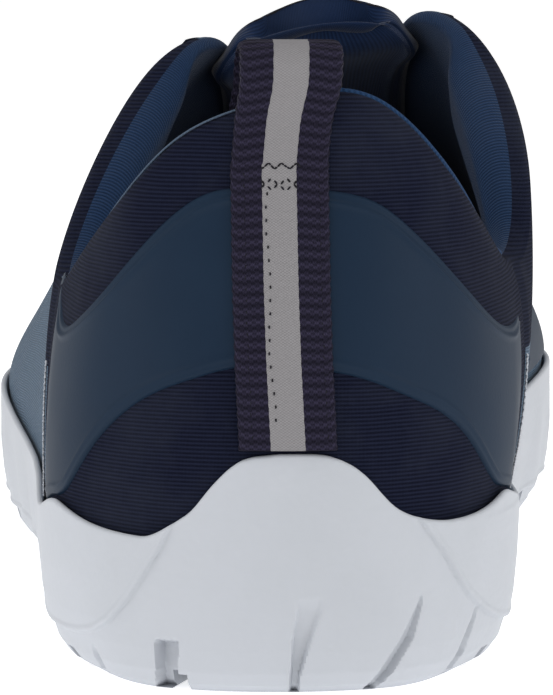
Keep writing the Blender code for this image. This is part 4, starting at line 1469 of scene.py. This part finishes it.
tongue_top = smooth_rows(tongue_rows, TONGUE_ROWS).transpose(1, 0, 2)
tongue_top = smooth_rows(tongue_top, TONGUE_COLUMNS).transpose(1, 0, 2)
tongue_top = relax(tongue_top, 10, hold_edge=True)
side = np.abs(np.linspace(-1, 1, TONGUE_COLUMNS))
end = np.linspace(0, 1, TONGUE_ROWS)
normals = unit(np.cross(np.gradient(tongue_top, axis=0), np.gradient(tongue_top, axis=1)))
normals *= np.sign(normals[20, 24, 2])
level = unit(normals.mean(axis=1, keepdims=True))
free = ease(end, 0.50, 0.70)[:, None, None]
normals = unit(relax(unit(normals + 3 * level * free), 30))
swell = np.clip(1 - side**5, 0, 1) ** 0.5 * (1 - 0.22 * hump(side, 0.86, 0.05))
blunt = np.clip(1 - np.clip((end - 0.94) / 0.06, 0, 1) ** 2.4, 0, 1) ** 0.5
swell = swell * (blunt * (1 + 0.4 * ease(end, 0.74, 0.92)))[:, None]
pad = TONGUE_THICKNESS * swell
tongue_mesh = lay_strip("tongue_pad", tongue_top - normals * pad[..., None] * 0.98, normals, pad)
tongue_knit = knit_finish(
    "tongue_knit", srgb(15, 25, 47), srgb(27, 43, 72), 0.5 * MM, 0.04 * MM, 0.15, turned=True
)
tongue = add_piece(tongue_mesh, tongue_knit, "knit", "tongue")

# %% [markdown]
# ## Laces
# The flat lace runs in crossed bands over the tongue, from hole to hole. Its last ends go into
# the top holes and stop inside, where nothing of them shows. Each band is a strip, because a
# curve with a bevel would roll over and not lie flat on the tongue.

# %% Laces
LACE_WIDTH, LACE_THICKNESS, LACE_ARCH = 5.6 * MM, 1.1 * MM, 2.0 * MM
LACE_ON_EDGE = 0.5 * MM
LACE_LIFT = 1.7 * MM
LACE_LAYER = 0.35 * MM
LACE_END_DEPTH = 2.4 * MM
LACE_STEPS = 60


def lace_route(from_u, to_u, layer):
    """Places and directions of one band over the throat."""
    points, normals = [], []
    for near, far, shares in ((from_u, to_u, (0, 0.25)), (to_u, from_u, (0.25, 0))):
        for share in shares:
            u = near + (ROUND - far - near) * share
            s = share_below_top(u, LACE_ON_EDGE if share else LACE_HOLE_INSET)
            points.append(on_last(np.array([u]), s, LACE_LIFT + layer)[0])
            normals.append(outward(u, s)[0])
    points.insert(2, (points[1] + points[2]) / 2 + np.array((0, 0, LACE_ARCH)))
    normals.insert(2, unit(normals[1] + normals[2]))
    for place, normal in ((0, normals[0]), (len(points), normals[-1])):
        end = points[0] if place == 0 else points[-1]
        points.insert(place, end - normal * LACE_END_DEPTH)
        normals.insert(place, normal)
    return np.array(points), np.array(normals)


lace_mesh = bmesh.new()
runs = [(LACE_HOLES[0], ROUND - LACE_HOLES[0])]
for here, beyond in zip(LACE_HOLES, LACE_HOLES[1:]):
    runs += [(here, ROUND - beyond), (ROUND - here, beyond)]
lace_sides = np.array((-1, -0.9, -0.6, -0.2, 0.2, 0.6, 0.9, 1))
lace_rounding = np.clip(1 - np.abs(lace_sides) ** 4, 0, 1) ** 0.5
for number, (from_u, to_u) in enumerate(runs):
    points, normals = lace_route(from_u, to_u, LACE_LAYER * (number % 3))
    points, normals = smooth_rows(points, LACE_STEPS), unit(smooth_rows(normals, LACE_STEPS))
    across = unit(np.cross(np.gradient(points, axis=0), normals))
    normals = unit(np.cross(across, np.gradient(points, axis=0)))
    base = points[:, None] + across[:, None] * lace_sides[:, None] * LACE_WIDTH / 2
    facing = np.repeat(normals[:, None], len(lace_sides), axis=1)
    thick = np.tile(LACE_THICKNESS * lace_rounding, (LACE_STEPS, 1))
    band = lay_strip("band", base, facing, thick)
    lace_mesh.from_mesh(band)
    bpy.data.meshes.remove(band)
laces = bpy.data.meshes.new("flat_laces")
lace_mesh.to_mesh(laces)
lace_mesh.free()
laces.shade_smooth()
add_piece(laces, lace_weave, "lace_cloth", "laces")

# %% [markdown]
# ## Insole
# A loose flat sock liner lies in the cup. Only its cloth shows, down in the opening. It is one
# more closed grid round the last: out along the bottom, up the rim and back over the top.

# %% Insole
LINER_THICKNESS = 3.2 * MM
LINER_INSET = 5.0 * MM


def insole_place(u, t):
    row = last(u)
    rim = row[..., :2] - plan_normal(u) * LINER_INSET
    share = np.interp(t, (0, 1, 2, 3), (0, 1, 1, 0))[:, None]
    flat = hub(u) * (1 - share) + rim * share
    thick = LINER_THICKNESS - 0.5 * MM * ease(share[:, 0], 0.94, 1.0)
    return xyz(flat, bed(flat[:, 1]) + GAP + thick * np.clip(t - 1, 0, 1)) + HOME


insole_rows = np.array((0, 0.5, 1, 1.4, 1.8, 2, 2.01, 2.03, 2.06, 2.15, 2.4, 2.7, 3))
insole_columns = np.linspace(0, ROUND, 181)
insole_mesh = lay_grid("sock_liner", insole_columns, insole_rows, insole_place, closed=True)
add_piece(insole_mesh, lining_knit, "lining", "insole")

# %% [markdown]
# ## Piping and stitches
# A thin cord runs along the inner side of the collar's edge and a pale thread along the outer
# side. White zigzag stitches join the heel quarter to the fore part, dark thread holds the tape
# down, and an overlock seam closes the tongue. Each stitch is a small pill of a few dozen faces.

# %% A thin cord
def lay_tube(name, centres, radius):
    """A closed tube along a line of places, drawn in at both ends."""
    rows = np.arange(len(centres))
    ahead = unit(np.gradient(centres, axis=0))
    first = unit(np.cross(ahead, (0.0, 0.0, 1.0)))
    second = np.cross(first, ahead)
    size = radius * np.clip(np.minimum(rows, rows[::-1]) / 3, 0, 1)

    def place(u, t):
        row = t.astype(int)
        return centres[row] + (
            first[row] * np.cos(u)[:, None] + second[row] * np.sin(u)[:, None]
        ) * size[row][:, None]

    return lay_grid(name, np.linspace(0, 2 * math.pi, 11), rows, place, closed=True)


def rim_line(us, distance, depth):
    """A line just below the top edge, some share of the wall's depth in from the outside."""
    return on_last(us, share_below_top(us, distance), -depth * wall(us, np.ones_like(us)))


piping_places = np.linspace(0.25, 2.85, 240)
piping_depth = 0.40 - 0.26 * ease(piping_places, 0.6, 2.2)
piping_mesh = lay_tube("inner_piping", rim_line(piping_places, 0.15 * MM, piping_depth), 0.6 * MM)
piping_cloth = woven_finish("piping_cloth", srgb(10, 28, 54), srgb(44, 72, 108), (0.6, 0.9, 0.15))
add_piece(piping_mesh, piping_cloth, "lining")
edge_line = rim_line(-np.linspace(0.25, 3.1, 200), 0.35 * MM, 0.12)
edge_mesh = lay_tube("outer_edge_thread", edge_line, 0.16 * MM)
pale_thread = woven_finish("pale_thread", srgb(52, 66, 84), srgb(92, 106, 124), (0.4, 0.6, 0.05))
add_piece(edge_mesh, pale_thread, "knit")


# %% Rows of stitches
def lay_stitches(name, starts, ends, thickness):
    """One small pill of thread from each start to its end."""
    bm = bmesh.new()
    for start, end in zip(starts, ends):
        run = Vector(end - start)
        matrix = Matrix.Translation((start + end) / 2) @ upright(run)
        matrix = matrix @ Matrix.Diagonal((thickness, thickness, run.length, 1))
        bmesh.ops.create_uvsphere(bm, u_segments=6, v_segments=5, radius=0.5, matrix=matrix)
    mesh = bpy.data.meshes.new(name)
    bm.to_mesh(mesh)
    bm.free()
    mesh.shade_smooth()
    return mesh


white_thread = thread_finish("white_thread", srgb(150, 155, 164), srgb(205, 208, 214))
black_thread = thread_finish("black_thread", srgb(6, 6, 12), srgb(24, 24, 36))

# %% The quarter's zigzag seam
SEAM_STEP = 0.0125
SEAM_HALF = 0.04
SEAM_LIFT = 0.42 * MM


def seam_places(side, top):
    """A zigzag up the quarter's front seam, on one side of the shoe."""
    foot = rand_edge(side * QUARTER_SEAM) + 0.6 * MM
    shares = np.arange(share_at(side * QUARTER_SEAM, foot)[0], top, SEAM_STEP)
    zigzag = np.where(np.arange(len(shares)) % 2, SEAM_HALF, -SEAM_HALF)
    us = side * (QUARTER_SEAM + zigzag)
    return on_last(us, shares, upper_lift(us, shares) + SEAM_LIFT)


seam_starts, seam_ends = [], []
for side, top in ((1, 0.52), (-1, 0.56)):
    line = seam_places(side, top)
    seam_starts += list(line[:-1])
    seam_ends += list(line[1:])
seam_mesh = lay_stitches("quarter_stitches", seam_starts, seam_ends, 0.42 * MM)
add_piece(seam_mesh, white_thread, "knit")

# %% Threads on the tape
tape_front = tape_base + tape_facing * tape_thickness[..., None]
starts, ends = [], []
sewn = len(heel_heights)
for side in (-0.68, 0.76):
    column = int(np.argmin(np.abs(TAPE_SIDES - side)))
    for row in range(4, sewn - 8, 6):
        wobble = np.array((0.12 * MM * math.sin(row * 1.3), 0.06 * MM, 0))
        starts.append(tape_front[row, column] + wobble)
        ends.append(tape_front[row + 5, column] - wobble * (1, -1, 1))
stripe_edge = int(np.argmin(np.abs(TAPE_SIDES + 0.31)))
for row in range(16, sewn - 16, 7):
    wobble = 0.25 * MM * math.sin(row * 1.7)
    place = tape_front[row, stripe_edge] + np.array((0.5 * MM + wobble, -0.02 * MM, 0))
    starts.append(place)
    ends.append(place + np.array((0.1 * MM * math.sin(row * 2.3), 0, 0.55 * MM)))
tack_sides = np.linspace(-0.36, 0.42, 13)
for height, every in ((sewn - 1, 1), (sewn - 9, 2), (sewn - 12, 2)):
    points = []
    for side in tack_sides:
        row = height + 1.4 * math.sin(side * 23 + height)
        low = tape_front[int(row)]
        points.append([np.interp(side, TAPE_SIDES, low[:, axis]) for axis in range(3)])
    points = np.array(points)
    starts += list(points[:-1:every])
    ends += list(points[1::every])
tape_stitch_mesh = lay_stitches("tape_stitches", starts, ends, 0.34 * MM)
add_piece(tape_stitch_mesh, black_thread, "tape")

# %% Overlock seam round the tongue's free end
def tongue_edge(inset):
    """Places round the tongue's free end, some grid lines in from its edge."""
    rows = np.arange(52, 86)
    sides = (inset, TONGUE_COLUMNS - 1 - inset)
    up, down = (tongue_top[rows, column] for column in sides)
    over = tongue_top[TONGUE_ROWS - 1 - inset, 4:45]
    return smooth_rows(np.concatenate([up, over, down[::-1]]), 190)


tongue_stitch_mesh = lay_stitches("tongue_overlock", tongue_edge(3)[:-1], tongue_edge(0)[1:], 0.3 * MM)
add_piece(tongue_stitch_mesh, black_thread, "knit")
